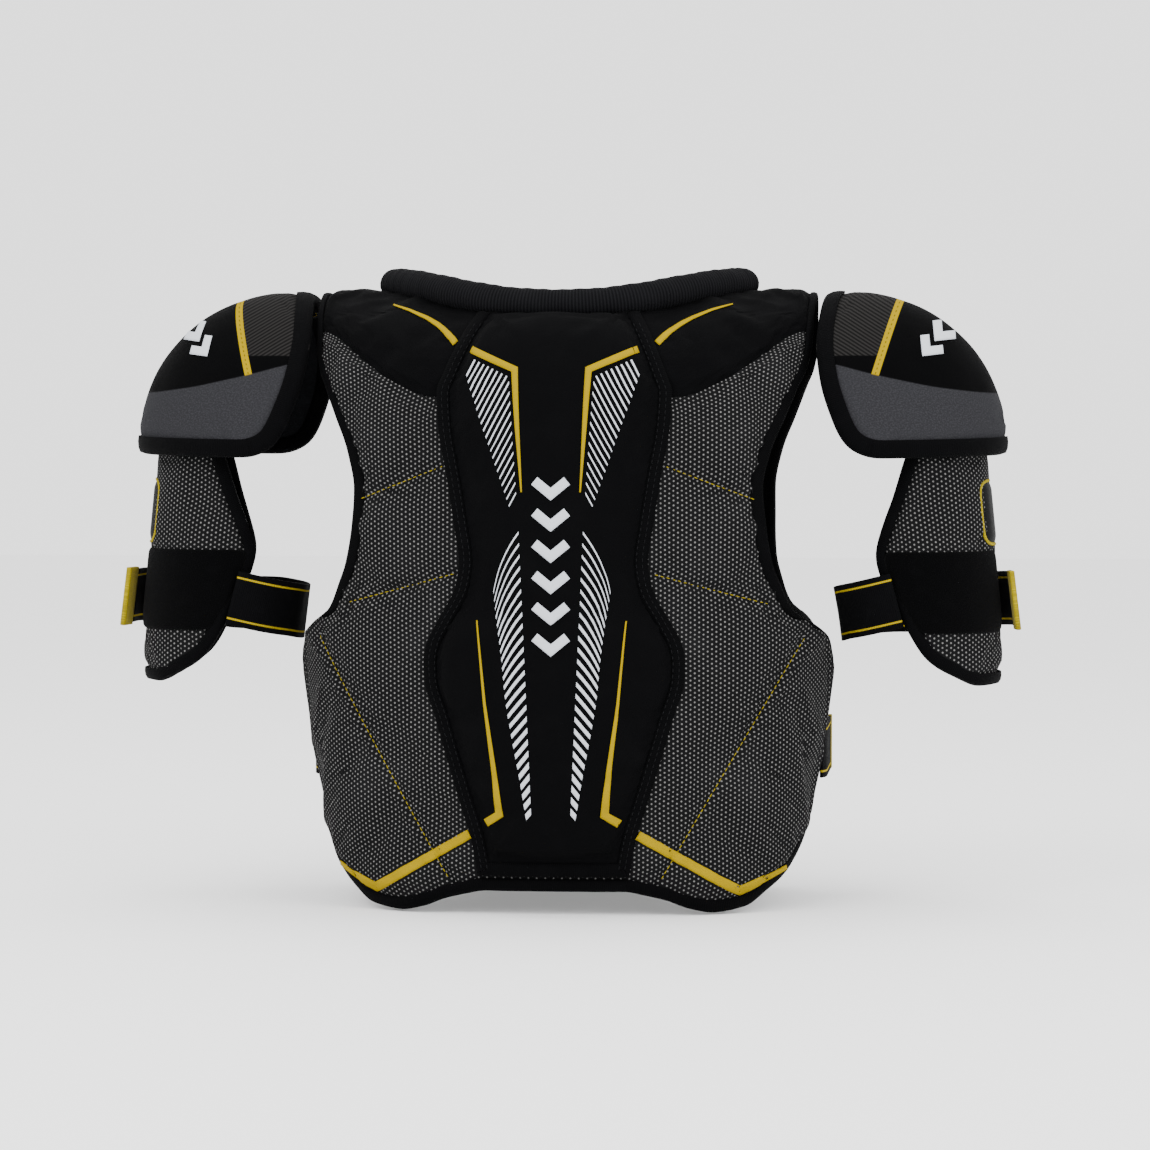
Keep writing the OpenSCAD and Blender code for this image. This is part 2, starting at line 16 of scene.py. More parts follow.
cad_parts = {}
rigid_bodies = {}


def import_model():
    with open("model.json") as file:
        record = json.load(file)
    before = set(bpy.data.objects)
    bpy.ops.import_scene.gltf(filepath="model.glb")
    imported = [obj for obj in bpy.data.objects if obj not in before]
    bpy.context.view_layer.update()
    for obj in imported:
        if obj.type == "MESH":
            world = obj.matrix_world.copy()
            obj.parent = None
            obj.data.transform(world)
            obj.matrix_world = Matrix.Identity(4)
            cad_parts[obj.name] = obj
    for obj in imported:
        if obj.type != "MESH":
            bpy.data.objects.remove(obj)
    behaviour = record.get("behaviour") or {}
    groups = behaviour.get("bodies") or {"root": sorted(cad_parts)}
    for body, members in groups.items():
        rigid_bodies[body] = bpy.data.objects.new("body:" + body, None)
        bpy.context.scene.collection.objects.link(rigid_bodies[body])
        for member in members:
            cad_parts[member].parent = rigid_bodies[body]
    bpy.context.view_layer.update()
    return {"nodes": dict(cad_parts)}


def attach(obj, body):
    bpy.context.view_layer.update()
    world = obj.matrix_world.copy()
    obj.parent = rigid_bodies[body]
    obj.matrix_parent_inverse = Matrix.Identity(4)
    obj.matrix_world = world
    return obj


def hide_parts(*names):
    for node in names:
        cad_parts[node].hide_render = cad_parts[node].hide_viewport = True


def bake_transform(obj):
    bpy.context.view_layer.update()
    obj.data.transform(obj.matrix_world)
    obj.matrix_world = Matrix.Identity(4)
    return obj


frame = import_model()
scene = bpy.context.scene
MM = 0.001
UV_MM = 10.0  # one unit of a piece's UV map is 10 mm of its surface
BACK, FRONT = -1, 1

# ---------------------------------------------------------------- curves and surfaces


def curve(points):
    """A smooth line through (x, y) points, as a function of x, without overshoot."""
    x, y = np.array(points, float).T
    step = np.diff(x)
    slope = np.diff(y) / step
    m = np.zeros(len(x))
    m[0], m[-1] = slope[0], slope[-1]
    same = slope[:-1] * slope[1:] > 0
    m[1:-1][same] = 2 * slope[:-1][same] * slope[1:][same] / (slope[:-1] + slope[1:])[same]

    def at(q):
        q = np.clip(q, x[0], x[-1])
        i = np.clip(np.searchsorted(x, q) - 1, 0, len(x) - 2)
        t = (q - x[i]) / step[i]
        a, b = y[i], y[i + 1]
        ma, mb = m[i] * step[i], m[i + 1] * step[i]
        t2, t3 = t * t, t * t * t
        return (2 * t3 - 3 * t2 + 1) * a + (t3 - 2 * t2 + t) * ma + (3 * t2 - 2 * t3) * b + (t3 - t2) * mb

    return at


def ease(t):
    t = np.clip(t, 0, 1)
    return t * t * (3 - 2 * t)


def mixed(a, b, t):
    return a + (b - a) * t


def unit(v):
    return v / np.linalg.norm(v, axis=-1, keepdims=True)


def aligned(*values):
    """The values as arrays of one shape."""
    return np.broadcast_arrays(*(np.asarray(v, float) for v in values))


VEST_HALF_W, DEPTH, ARCH_START, ARCH_RISE, ARCH_LEN = 186.5, 118.0, 325.0, 100.0, 170.0
FRONT_NARROWER, HEM_TAPER, RIB_Z = 10.5, 26.0, 174.0
ARCH_POWER, BACK_POWER, BELLY_POWER = 2.4, 2.5, 2.8
SHOULDER_H = ARCH_START + ARCH_LEN
SIDE_ANGLE, DEG_PER_MM = 89.0, 1 / 3.1
NECK_HALF_W = 122.0
PAD_T = 11.5
BINDING_W, ARMHOLE_TAPE_W = 9.0, 15.0
PAD_INSET = 5.0  # from the binding's edge to the pads' cloth

armhole = curve([(60, 89), (170, 89), (178, 86.5), (185, 82.7), (196, 70.7), (205, 61.6), (223, 56.5),
                 (238, 53.5), (263, 51.3), (289, 50.3), (312, 52.5), (336, 57.3), (364, 63.6), (377, 67.0),
                 (400, 69.6), (464, 70.7), (495, 70.7)])
hem = curve([(0, 16), (18, 16), (21.3, 14.4), (28.7, 10), (36, 3.8), (44, 0.6), (54, 3), (63, 13), (73, 24.5),
             (82, 40), (89, 60)])
spine_half_w = curve([(22, 50), (50, 55), (78, 63.4), (103, 71), (134, 80), (160, 87.5), (172, 88), (184, 86),
                      (198, 79), (223, 66), (240, 63.4), (263, 66.5), (298, 72), (331, 77.6), (357, 79),
                      (372, 74.5), (399, 65.5), (432, 54)])
sternum_half_w = curve([(50, 44), (90, 52), (130, 66), (170, 74), (210, 66), (250, 58), (300, 62), (330, 56),
                        (350, 40)])


def deg(f, a):
    return f(np.radians(a))


def oval(s, power):
    return np.maximum(0, 1 - np.abs(s) ** power) ** (1 / power)


def arch_angle(h):
    return np.maximum(0, h - ARCH_START) * 90 / ARCH_LEN


def vest_z(h, off):
    return np.minimum(h, ARCH_START) + (ARCH_RISE - off) * deg(np.sin, arch_angle(h))


def vest_half(z, side):
    taper = HEM_TAPER * np.maximum(0, (RIB_Z - z) / RIB_Z) ** 1.25
    if side == BACK:
        return VEST_HALF_W - taper
    return mixed(VEST_HALF_W - FRONT_NARROWER, VEST_HALF_W, ease((z - 200) / 100)) - taper


def vest_power(z, side):
    return BACK_POWER + 0 * z if side == BACK else mixed(BELLY_POWER, BACK_POWER, ease((z - 120) / 140))


def vest_point(a, h, side, off):
    """The vest's surface: a degrees round from the middle, h along the surface, off below it."""
    a, h, off = aligned(a, h, off)
    z = vest_z(h, 0)
    k = oval(deg(np.sin, arch_angle(h)), ARCH_POWER)
    x = (vest_half(z, side) - off) * deg(np.sin, a)
    y = side * (DEPTH - off) * k * oval(deg(np.sin, a), vest_power(z, side))
    return np.stack([x, y, vest_z(h, off)], -1)


def neck_x(h, side):
    start = 58 if side == BACK else 28
    return NECK_HALF_W * np.clip((arch_angle(h) - start) / (90 - start), 0, 1) ** 0.45


def panel_angle(u, h, side, inset):
    nx = neck_x(h, side)
    inner = np.degrees(np.arcsin(nx / VEST_HALF_W)) + np.where(nx > 0, inset * DEG_PER_MM, 0)
    return mixed(inner, armhole(h) - inset * DEG_PER_MM, u)


def hem_h(u, inset):
    return hem(np.abs(u) * SIDE_ANGLE) + inset


def fabric_change_h(u):
    return 354.6 + 59 * ease((u - 0.45) / 0.5)


def distance_to(points, x, z):
    """Distance in the back's or front's flat view from (x, z) to a line through points."""
    best = np.full(np.shape(x), 1e9)
    for (x0, z0), (x1, z1) in zip(points[:-1], points[1:]):
        dx, dz = x1 - x0, z1 - z0
        t = np.clip(((x - x0) * dx + (z - z0) * dz) / (dx * dx + dz * dz), 0, 1)
        best = np.minimum(best, np.hypot(x - x0 - t * dx, z - z0 - t * dz))
    return best


def lengths(points, axis):
    """Length along a line or a grid of points, from its first point, row or column."""
    d = np.linalg.norm(np.diff(points, axis=axis), axis=-1)
    pad = np.zeros_like(np.take(d, [0], axis=axis))
    return np.concatenate([pad, np.cumsum(d, axis=axis)], axis=axis)


def borders(base):
    """Lengths along a grid's rows and columns, and the distance to its nearest edge."""
    su, sv = lengths(base, 1), lengths(base, 0)
    return su, sv, np.minimum(np.minimum(su, su[:, -1:] - su), np.minimum(sv, sv[-1:] - sv))


def directions(line, closed=False):
    """A line's direction at each of its points."""
    return unit(np.roll(line, -1, axis=0) - np.roll(line, 1, axis=0) if closed else np.gradient(line, axis=0))


def left_of(d):
    return np.stack([-d[:, 1], d[:, 0]], -1)


def round_square(n=70):
    """Once round a square from its corner (-1, 0): to (1, 0), (1, 1), (-1, 1) and back."""
    t, s, one = np.linspace(-1, 1, n, endpoint=False), np.linspace(0, 1, n, endpoint=False), np.ones(n)
    return np.concatenate([t, one, -t, -one]), np.concatenate([0 * one, s, one, 1 - s])


# ---------------------------------------------------------------- meshes


def add_uv(mesh, name, uv):
    """A UV layer, from one pair per vertex in millimetres."""
    layer = mesh.uv_layers.new(name=name)
    loops = np.zeros(len(mesh.loops), np.int32)
    mesh.loops.foreach_get("vertex_index", loops)
    flat = (np.array(uv, float).reshape(-1, 2) / UV_MM)[loops]
    layer.data.foreach_set("uv", flat.astype(np.float32).ravel())


def new_object(name, verts_mm, faces, uv, material, mirror=False):
    """A smooth mesh object. uv holds one pair per vertex, in millimetres. mirror puts it on the left."""
    verts = np.array(verts_mm, float).reshape(-1, 3) * MM
    if mirror:
        verts = verts * [-1, 1, 1]
    mesh = bpy.data.meshes.new(name)
    mesh.from_pydata(verts.tolist(), [], faces)
    add_uv(mesh, "UVMap", uv)
    bm = bmesh.new()
    bm.from_mesh(mesh)
    bmesh.ops.recalc_face_normals(bm, faces=bm.faces)
    bm.to_mesh(mesh)
    bm.free()
    mesh.materials.append(material)
    mesh.polygons.foreach_set("use_smooth", [True] * len(mesh.polygons))
    o = bpy.data.objects.new(name, mesh)
    scene.collection.objects.link(o)
    return o


def sheet_faces(rows, cols):
    """Faces of a closed sheet: an outer grid, an inner grid and the four edges between them."""
    n = rows * cols
    at = lambda k, r, c: k * n + r * cols + c
    faces = []
    for r in range(rows - 1):
        for c in range(cols - 1):
            faces.append((at(0, r, c), at(0, r, c + 1), at(0, r + 1, c + 1), at(0, r + 1, c)))
            faces.append((at(1, r, c), at(1, r + 1, c), at(1, r + 1, c + 1), at(1, r, c + 1)))
    for r in range(rows - 1):
        for c in (0, cols - 1):
            faces.append((at(0, r, c), at(0, r + 1, c), at(1, r + 1, c), at(1, r, c)))
    for c in range(cols - 1):
        for r in (0, rows - 1):
            faces.append((at(0, r, c), at(1, r, c), at(1, r, c + 1), at(0, r, c + 1)))
    return faces


def sheet(name, outer, inner, material, mirror=False, uv=None):
    """A closed sheet between two grids of points. Its uv is the lengths along the outer one unless given."""
    if uv is None:
        uv = np.stack([lengths(outer, 1), lengths(outer, 0)], -1)
    both = np.concatenate([outer.reshape(-1, 3), inner.reshape(-1, 3)])
    uvs = np.concatenate([uv.reshape(-1, 2)] * 2)
    return new_object(name, both, sheet_faces(*outer.shape[:2]), uvs, material, mirror)


def sweep(name, rings, material, closed_path=False, mirror=False, across=None):
    """A solid through rings of points, each a closed outline. across is the ring points' v in the UV map."""
    rings = np.array(rings, float)
    n, m = rings.shape[:2]
    faces = []
    for i in range(n if closed_path else n - 1):
        k = (i + 1) % n
        faces += [(i * m + j, i * m + (j + 1) % m, k * m + (j + 1) % m, k * m + j) for j in range(m)]
    if not closed_path:
        faces += [tuple(range(m)), tuple(range((n - 1) * m, n * m))]
    if across is None:
        across = lengths(rings.mean(0), 0)
    uv = np.stack(np.meshgrid(lengths(rings.mean(1), 0), across, indexing="ij"), -1)
    return new_object(name, rings, faces, uv, material, mirror)


def finish_piece(o, body, nodes=()):
    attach(o, body)
    if nodes:
        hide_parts(*nodes)
    return o


# ---------------------------------------------------------------- materials


class Fabric:
    """A procedural cloth: builds a node tree from small steps on the piece's own UV map."""

    def __init__(self, name, color, roughness=0.85, sheen=0.004):
        self.mat = bpy.data.materials.new(name)
        self.mat.use_nodes = True
        self.tree = self.mat.node_tree
        self.bsdf = self.feed(self.tree.nodes["Principled BSDF"], {
            "Base Color": (*color, 1), "Roughness": roughness, "Sheen Weight": sheen, "Sheen Roughness": 0.5,
            "Specular IOR Level": 0.02})
        self.color = color
        self.uv = self.tree.nodes.new("ShaderNodeTexCoord").outputs["UV"]
        self.bump_socket = None
        self.mix_from = None

    def feed(self, n, inputs):
        """Sets or links a node's inputs, each given by its name or number."""
        for key, value in inputs.items():
            if isinstance(value, bpy.types.NodeSocket):
                self.tree.links.new(value, n.inputs[key])
            else:
                n.inputs[key].default_value = value
        return n

    def node(self, kind, inputs):
        return self.feed(self.tree.nodes.new(kind), inputs)

    def math(self, op, *args):
        n = self.tree.nodes.new("ShaderNodeMath")
        n.operation = op
        return self.feed(n, dict(enumerate(args))).outputs[0]

    def mul(self, a, b):
        return self.math("MULTIPLY", a, b)

    def sub(self, a, b):
        return self.math("SUBTRACT", a, b)

    def scaled(self, a, by, plus):
        return self.math("MULTIPLY_ADD", a, by, plus)

    def sine(self, x, pitch):
        """A wave along x, one for every pitch millimetres."""
        return self.math("SINE", self.mul(x, 2 * math.pi / pitch))

    def axes_mm(self, turn=0.0, layer=None):
        """The piece's surface coordinates in millimetres, turned by an angle, or those of another layer."""
        uv = self.uv
        if layer is not None:
            named = self.tree.nodes.new("ShaderNodeUVMap")
            named.uv_map = layer
            uv = named.outputs[0]
        turned = {"Vector": uv, "Rotation": (0, 0, math.radians(turn)), "Scale": (UV_MM,) * 3}
        s = self.node("ShaderNodeSeparateXYZ", {0: self.node("ShaderNodeMapping", turned).outputs[0]})
        return s.outputs[0], s.outputs[1]

    def ramp(self, value, low, high):
        n = self.node("ShaderNodeMapRange", {"Value": value, "From Min": low, "From Max": high})
        n.interpolation_type = "SMOOTHSTEP"
        return n.outputs["Result"]

    def noise(self, size_mm, detail=3.0):
        inputs = {"Vector": self.uv, "Scale": UV_MM / size_mm, "Detail": detail}
        return self.node("ShaderNodeTexNoise", inputs).outputs["Fac"]

    def paint(self, mask, color):
        """Lays color over what is there, where mask is 1."""
        n = self.tree.nodes.new("ShaderNodeMix")
        n.data_type = "RGBA"
        under = (*self.color, 1) if self.mix_from is None else self.mix_from
        self.feed(n, {"Factor": mask, "A": under, "B": (*color, 1)})
        self.mix_from = n.outputs["Result"]
        self.feed(self.bsdf, {"Base Color": self.mix_from})
        return self

    def bump(self, height, distance_mm, strength=0.6):
        inputs = {"Height": height, "Distance": distance_mm * MM, "Strength": strength}
        if self.bump_socket is not None:
            inputs["Normal"] = self.bump_socket
        self.bump_socket = self.node("ShaderNodeBump", inputs).outputs[0]
        self.feed(self.bsdf, {"Normal": self.bump_socket})
        return self

    def worn(self, amount, size_mm, lighter=1.7):
        """Slow changes of shade and roughness, as on used cloth."""
        dirt = self.ramp(self.noise(size_mm, 6.0), 0.48, 0.78)
        self.paint(self.mul(dirt, amount), tuple(min(1, c * lighter + 0.0003) for c in self.color))
        base = self.bsdf.inputs["Roughness"].default_value
        self.feed(self.bsdf, {"Roughness": self.scaled(self.noise(size_mm / 3), 0.18, base - 0.09)})
        return self

    def dots(self, pitch, row, radius, color, depth, soft=0.25):
        """Staggered dots, row apart in rows and pitch apart in a row."""
        x, y = self.axes_mm()
        y = self.math("DIVIDE", y, row)
        odd = self.mul(self.math("MODULO", self.math("ABSOLUTE", self.math("FLOOR", y)), 2.0), 0.5)
        x = self.math("ADD", self.math("DIVIDE", x, pitch), odd)
        cx = self.mul(self.sub(self.math("FRACT", x), 0.5), pitch)
        cy = self.mul(self.sub(self.math("FRACT", y), 0.5), row)
        r = self.math("SQRT", self.math("ADD", self.mul(cx, cx), self.mul(cy, cy)))
        mask = self.ramp(r, radius + soft, radius - soft)
        self.paint(self.mul(mask, self.scaled(self.noise(5.0), 0.7, 0.45)), color)
        return self.bump(self.sub(1.0, mask), depth)

    def relief(self, wave, depth, color, amount):
        wave = self.scaled(wave, 0.5, 0.5)
        if color is not None:
            self.paint(self.mul(wave, amount), color)
        return self.bump(wave, depth)

    def ribs(self, pitch, depth, turn=0.0, color=None, amount=1.0):
        return self.relief(self.sine(self.axes_mm(turn)[0], pitch), depth, color, amount)

    def weave(self, pitch, depth, color=None, amount=0.5):
        x, y = self.axes_mm()
        return self.relief(self.mul(self.sine(x, pitch), self.sine(y, pitch)), depth, color, amount)

    def fuzz(self, size_mm, depth, color=None):
        f = self.noise(size_mm, 2.0)
        if color is not None:
            self.paint(self.ramp(f, 0.45, 0.7), color)
        return self.bump(f, depth, 0.9)


BLACK = (0.001, 0.001, 0.00115)
YELLOW = (0.27, 0.185, 0.0)
DOT_PITCH, DOT_ROW, DOT_RADIUS = 5.8, 1.64, 0.62
THREAD_RIBS = (0.5, 0.1, 40)

mesh_cloth = Fabric("mesh_cloth", (0.005, 0.005, 0.0053)).worn(0.5, 60, 2.2)
mesh_cloth = mesh_cloth.dots(DOT_PITCH, DOT_ROW, DOT_RADIUS, (0.15, 0.148, 0.145), 0.4).mat
knit = Fabric("black_knit", BLACK, 0.8).worn(0.6, 35)
knit = knit.weave(0.9, 0.12, (0.0028, 0.0028, 0.0032), 0.6).mat
tape = Fabric("binding_tape", (0.0011, 0.0011, 0.0013), 0.8).worn(0.5, 20)
tape = tape.ribs(1.3, 0.25, 0, (0.0022, 0.0022, 0.0025), 0.5).weave(0.7, 0.12).mat
lining = Fabric("brushed_lining", (0.006, 0.0062, 0.007), 0.95).worn(0.6, 30)
lining = lining.fuzz(0.8, 0.3, (0.012, 0.0125, 0.014)).mat
rib_lining = Fabric("ribbed_lining", (0.0026, 0.0026, 0.003)).worn(0.5, 25)
rib_lining = rib_lining.ribs(2.2, 0.5, 0, (0.008, 0.008, 0.009), 0.7).weave(0.8, 0.1).mat
loop_tape = Fabric("loop_tape", (0.0009, 0.0009, 0.001), 1.0, 0.01).worn(0.6, 15)
loop_tape = loop_tape.fuzz(0.7, 0.7, (0.0018, 0.0018, 0.002)).mat
hook_tape = Fabric("yellow_hook_tape", (0.22, 0.17, 0.002), 0.95, 0.05).worn(0.5, 8, 0.7)
hook_tape = hook_tape.fuzz(0.9, 0.7, (0.36, 0.28, 0.004)).mat
yellow_print = Fabric("yellow_print", YELLOW, 0.6).worn(0.4, 15, 0.85).weave(0.9, 0.08).mat
white_print = Fabric("white_print", (0.5, 0.52, 0.56), 0.6).worn(0.4, 15, 0.85).weave(0.9, 0.08).mat
yellow_thread = Fabric("yellow_thread", (0.22, 0.17, 0.008), 0.6).ribs(*THREAD_RIBS).worn(0.4, 6, 0.6).mat
dark_thread = Fabric("dark_thread", (0.006, 0.006, 0.0066), 0.6).ribs(*THREAD_RIBS).worn(0.4, 6, 1.6).mat
plastic = Fabric("moulded_plastic", (0.3, 0.3, 0.29), 0.45).worn(0.4, 18, 0.8).fuzz(3.0, 0.05).mat
black_plastic = Fabric("black_plastic", (0.003, 0.003, 0.0034), 0.5).worn(0.4, 10).fuzz(0.5, 0.08).mat

STRAP_W, STRAP_T, STRAP_LINE_INSET = 38.0, 2.0, 4.5
strap = Fabric("elastic_webbing", (0.002, 0.002, 0.0023), 0.8).worn(0.5, 20)
strap_v = strap.axes_mm()[1]
for line_v in (STRAP_LINE_INSET, STRAP_W - STRAP_LINE_INSET):
    near = strap.math("ABSOLUTE", strap.sub(strap_v, line_v))
    strap.paint(strap.ramp(near, 0.8, 0.5), (0.32, 0.23, 0.004))
webbing = strap.ribs(1.5, 0.3).weave(0.8, 0.12).mat

# On the cap, seen from behind: the curved seam from its outer end inwards, and the slanting yellow stripe.
SEAM_X, SEAM_Z, SEAM_RUN, SEAM_RISE, SEAM_POWER = 296.0, 353.4, 107.0, 19.0, 1.6
STRIPE_X, STRIPE_Z, STRIPE_SLANT = 216.5, 371.0, 0.3
PATCH_BOTTOM, PATCH_TURN, PATCH_RIB = 378.0, -58, 2 * math.pi / 2.9
DASH_PITCH = 3.0


def cap_fabric():
    """The cap's cloth: grey below a seam, black above it, a stitched yellow stripe and a ribbed patch."""
    c = Fabric("cap_cloth", (0.0165, 0.0165, 0.0185))
    c.paint(c.ramp(c.noise(1.1, 2.0), 0.4, 0.7), (0.026, 0.026, 0.029)).worn(0.3, 40, 1.3)
    x, z = c.axes_mm(0, "flat")
    reach = c.math("MAXIMUM", c.math("DIVIDE", c.sub(SEAM_X, x), SEAM_RUN), 0.0)
    above = c.ramp(c.sub(z, c.scaled(c.math("POWER", reach, SEAM_POWER), SEAM_RISE, SEAM_Z)), -0.6, 0.6)
    past_stripe = c.sub(x, c.scaled(c.sub(z, STRIPE_Z), STRIPE_SLANT, STRIPE_X))
    from_stripe = c.math("ABSOLUTE", past_stripe)
    c.paint(above, BLACK)
    patch = c.mul(c.ramp(past_stripe, 0.5, -0.5), c.ramp(z, PATCH_BOTTOM, PATCH_BOTTOM + 1))
    c.paint(patch, (0.0035, 0.0034, 0.0034))
    ribs = c.mul(patch, c.scaled(c.sine(c.axes_mm(PATCH_TURN, "flat")[0], PATCH_RIB), 0.5, 0.5))
    c.paint(ribs, (0.017, 0.016, 0.0155)).bump(ribs, 0.5)
    stripe = c.mul(c.ramp(from_stripe, 2.9, 2.5), above)
    c.paint(stripe, YELLOW)
    dash = c.mul(c.ramp(c.sine(z, DASH_PITCH), 0.0, 0.4), c.ramp(from_stripe, 0.5, 0.3))
    c.paint(c.mul(dash, above), (0.12, 0.085, 0.0))
    return c.bump(stripe, 0.5).weave(0.8, 0.1).mat


cap_cloth = cap_fabric()

# ---------------------------------------------------------------- padding: cloth pressed out between seams

SIM_FRAMES = 16
sims = []


def puffs(o, sewn, cap_mm, pressure=4.0, slack=0.03):
    """Marks a padded piece for the cloth simulation. sewn is 1 where its face is held; its back is held."""
    group = o.vertex_groups.new(name="sewn")
    pin = np.round(np.concatenate([sewn.ravel(), np.ones(sewn.size)]), 1)
    for level in np.unique(pin):
        if level > 0:
            group.add(np.nonzero(pin == level)[0].tolist(), float(level), "REPLACE")
    sims.append((o, cap_mm * MM, pressure, slack))
    return o


def simulate():
    """Runs every marked piece's cloth together, then keeps the shape, with no point moved past its cap."""
    for o, _, pressure, slack in sims:
        mod = o.modifiers.new("puff", "CLOTH")
        s = mod.settings
        s.quality = 4
        s.mass = 0.2
        s.tension_stiffness = s.compression_stiffness = 12
        s.shear_stiffness = 6
        s.bending_stiffness = 0.4
        s.use_pressure = True
        s.uniform_pressure_force = pressure
        s.vertex_group_mass = "sewn"
        s.shrink_min = -slack
        s.effector_weights.gravity = 0
        mod.collision_settings.use_collision = False
        mod.point_cache.frame_start = 1
        mod.point_cache.frame_end = SIM_FRAMES
    for f in range(1, SIM_FRAMES + 1):
        scene.frame_set(f)
    graph = bpy.context.evaluated_depsgraph_get()
    for o, cap, _, _ in sims:
        n = len(o.data.vertices) * 3
        rest, moved = np.zeros(n), np.zeros(n)
        o.data.vertices.foreach_get("co", rest)
        o.evaluated_get(graph).data.vertices.foreach_get("co", moved)
        step = (moved - rest).reshape(-1, 3)
        size = np.linalg.norm(step, axis=1, keepdims=True)
        step *= np.tanh(size / cap) * cap / np.maximum(size, 1e-9)
        o.modifiers.clear()
        o.data.vertices.foreach_set("co", (rest.reshape(-1, 3) + step).ravel())
        o.data.update()
    scene.frame_set(1)


# ---------------------------------------------------------------- vest

STITCH_LINES = [[(136, 281), (75, 304.5)], [(146, 210), (66, 232)], [(168, 188), (71, 22)]]


# The spine and sternum pads: half width by height, lowest and highest point.
SPINE, STERNUM = (spine_half_w, 27, 430), (sternum_half_w, 52, 350)
CENTRE_RISE = 14.0
SEAM_OVERLAP = 0.4


def from_middle(a, h, side):
    """The length round the pad from its middle to each point, at that point's height."""
    steps = [vest_point(a * k, h, side, 0.0) for k in np.linspace(0, 1, 25)]
    return sum(np.linalg.norm(q - p, axis=-1) for p, q in zip(steps, steps[1:]))


def vest_pad(name, side, mirror, lower, upper, cols, rows, material, grooves, top_seam):
    u, v = np.meshgrid(np.linspace(0, 1, cols), np.linspace(0, 1, rows))
    h = mixed(lower(u), upper(u), v)
    a = panel_angle(u, h, side, PAD_INSET)
    base = vest_point(a, h, side, 0)
    su, sv = lengths(base, 1), lengths(base, 0)
    edge = np.minimum(su[:, -1:] - su, sv)
    if top_seam:
        edge = np.minimum(edge, sv[-1:] - sv)
    else:
        edge = np.where(neck_x(h, side) > 0, np.minimum(edge, su), edge)
    x, z = base[..., 0], base[..., 2]
    groove = np.zeros_like(x)
    for line in grooves:
        groove = np.maximum(groove, np.exp(-((distance_to(line, x, z) / 3.2) ** 2)))
    drop = 3.6 * (1 - ease(edge / 15)) + 2.6 * groove
    waves = 0.35 * np.sin(x / 11 + z / 17) * np.sin(z / 23 - x / 31)
    outer = vest_point(a, h, side, drop - waves * (1 - groove) * ease(edge / 20))
    inner = vest_point(a, h, side, PAD_T - 2.0 - 3.0 * (1 - ease(edge / 8)))
    uv = np.stack([from_middle(a, h, side), h], -1)
    o = sheet(name, outer, inner, material, mirror, uv)
    sewn = np.maximum(np.clip(groove * 1.3, 0, 1), 1 - ease((edge - 2) / 6))
    half_w, low, high = SPINE if side == BACK else STERNUM
    covered = ease((half_w(h) + 10 - np.abs(x)) / 8) * ease((h - low + 10) / 8) * ease((high + 10 - h) / 8)
    return puffs(o, np.maximum(sewn, covered), 2.8)


def tape_profile(width, top, bottom, thick=1.1):
    """A folded tape in section: (inset from the edge, depth below the pad's face), out, round and back."""
    mid = (top + bottom) / 2
    out = [(width, top), (width * 0.7, top - 0.2), (width * 0.35, top + 0.3), (width * 0.1, top + 1.6),
           (0, mid), (width * 0.1, bottom - 1.6), (width * 0.35, bottom - 0.3), (width * 0.7, bottom + 0.2),
           (width, bottom)]
    back = [(width, bottom - thick), (width * 0.5, bottom - thick - 0.3), (thick * 1.4, mid),
            (width * 0.5, top + thick + 0.3), (width, top + thick)]
    return out + back


def vest_edge(side, u, v, inset, off):
    h = mixed(hem_h(u, inset), SHOULDER_H - 3, v)
    return vest_point((armhole(h) - inset * DEG_PER_MM) * u, h, side, off)


def vest_binding(name, side):
    """One tape from shoulder to shoulder: down an armhole and side, along the hem and up the other side."""
    sides = [(1, v) for v in np.linspace(1, 0, 150)]
    half = sides + [(u, 0) for u in np.linspace(0.99, 0.0, 60)]
    path = [(-u, v) for u, v in half] + [(u, v) for u, v in half[::-1]][1:]
    rings = []
    for u, v in path:
        section = tape_profile(mixed(BINDING_W, ARMHOLE_TAPE_W, ease((v - 0.2) / 0.1)), 1.6, PAD_T - 0.6)
        ripple = 0.15 * math.sin(40 * v + 30 * u)
        rings.append([vest_edge(side, u, v, inset, depth + ripple) for inset, depth in section])
    return sweep(name, rings, tape)


def centre_angle(x, z, side):
    return np.degrees(np.arcsin(np.clip(x / vest_half(z, side), -0.99, 0.99)))


def centre_pad(name, side, half_w, low, high, rise, rows, cols, material):
    """The raised spine or sternum pad: a flange round the edge, then a padded body."""
    t, v = np.meshgrid(np.linspace(-1, 1, cols), np.linspace(0, 1, rows))
    h = mixed(low, high, v)
    z = vest_z(h, 0)
    w = half_w(h)
    x = t * w
    a = centre_angle(x, z, side)
    edge = np.minimum(w - np.abs(x), np.minimum(h - low, (high - h) + 8))
    body = 0.55 * ease((edge - 9) / 12) + 0.45 * ease((edge - 9) / 36)
    crown = 1 - 0.14 * (np.abs(x) / w) ** 2
    waist = np.exp(-(((h - 240) / 45) ** 2))
    channel = 0.9 * np.exp(-((np.abs(np.abs(x) - 0.52 * w) / 7.0) ** 2)) * (0.35 + 0.65 * waist)
    dimple = 1.4 * np.exp(-(((h - 64) / 6) ** 2) - (x / 6) ** 2) if side == BACK else 0
    lift = 2.0 + (rise - 2.0) * body * crown - channel * body - dimple * body
    outer, inner = vest_point(a, h, side, -lift), vest_point(a, h, side, -0.6)
    return puffs(sheet(name, outer, inner, material, uv=np.stack([x, h], -1)), 1 - ease((edge - 8) / 6), 2.2)


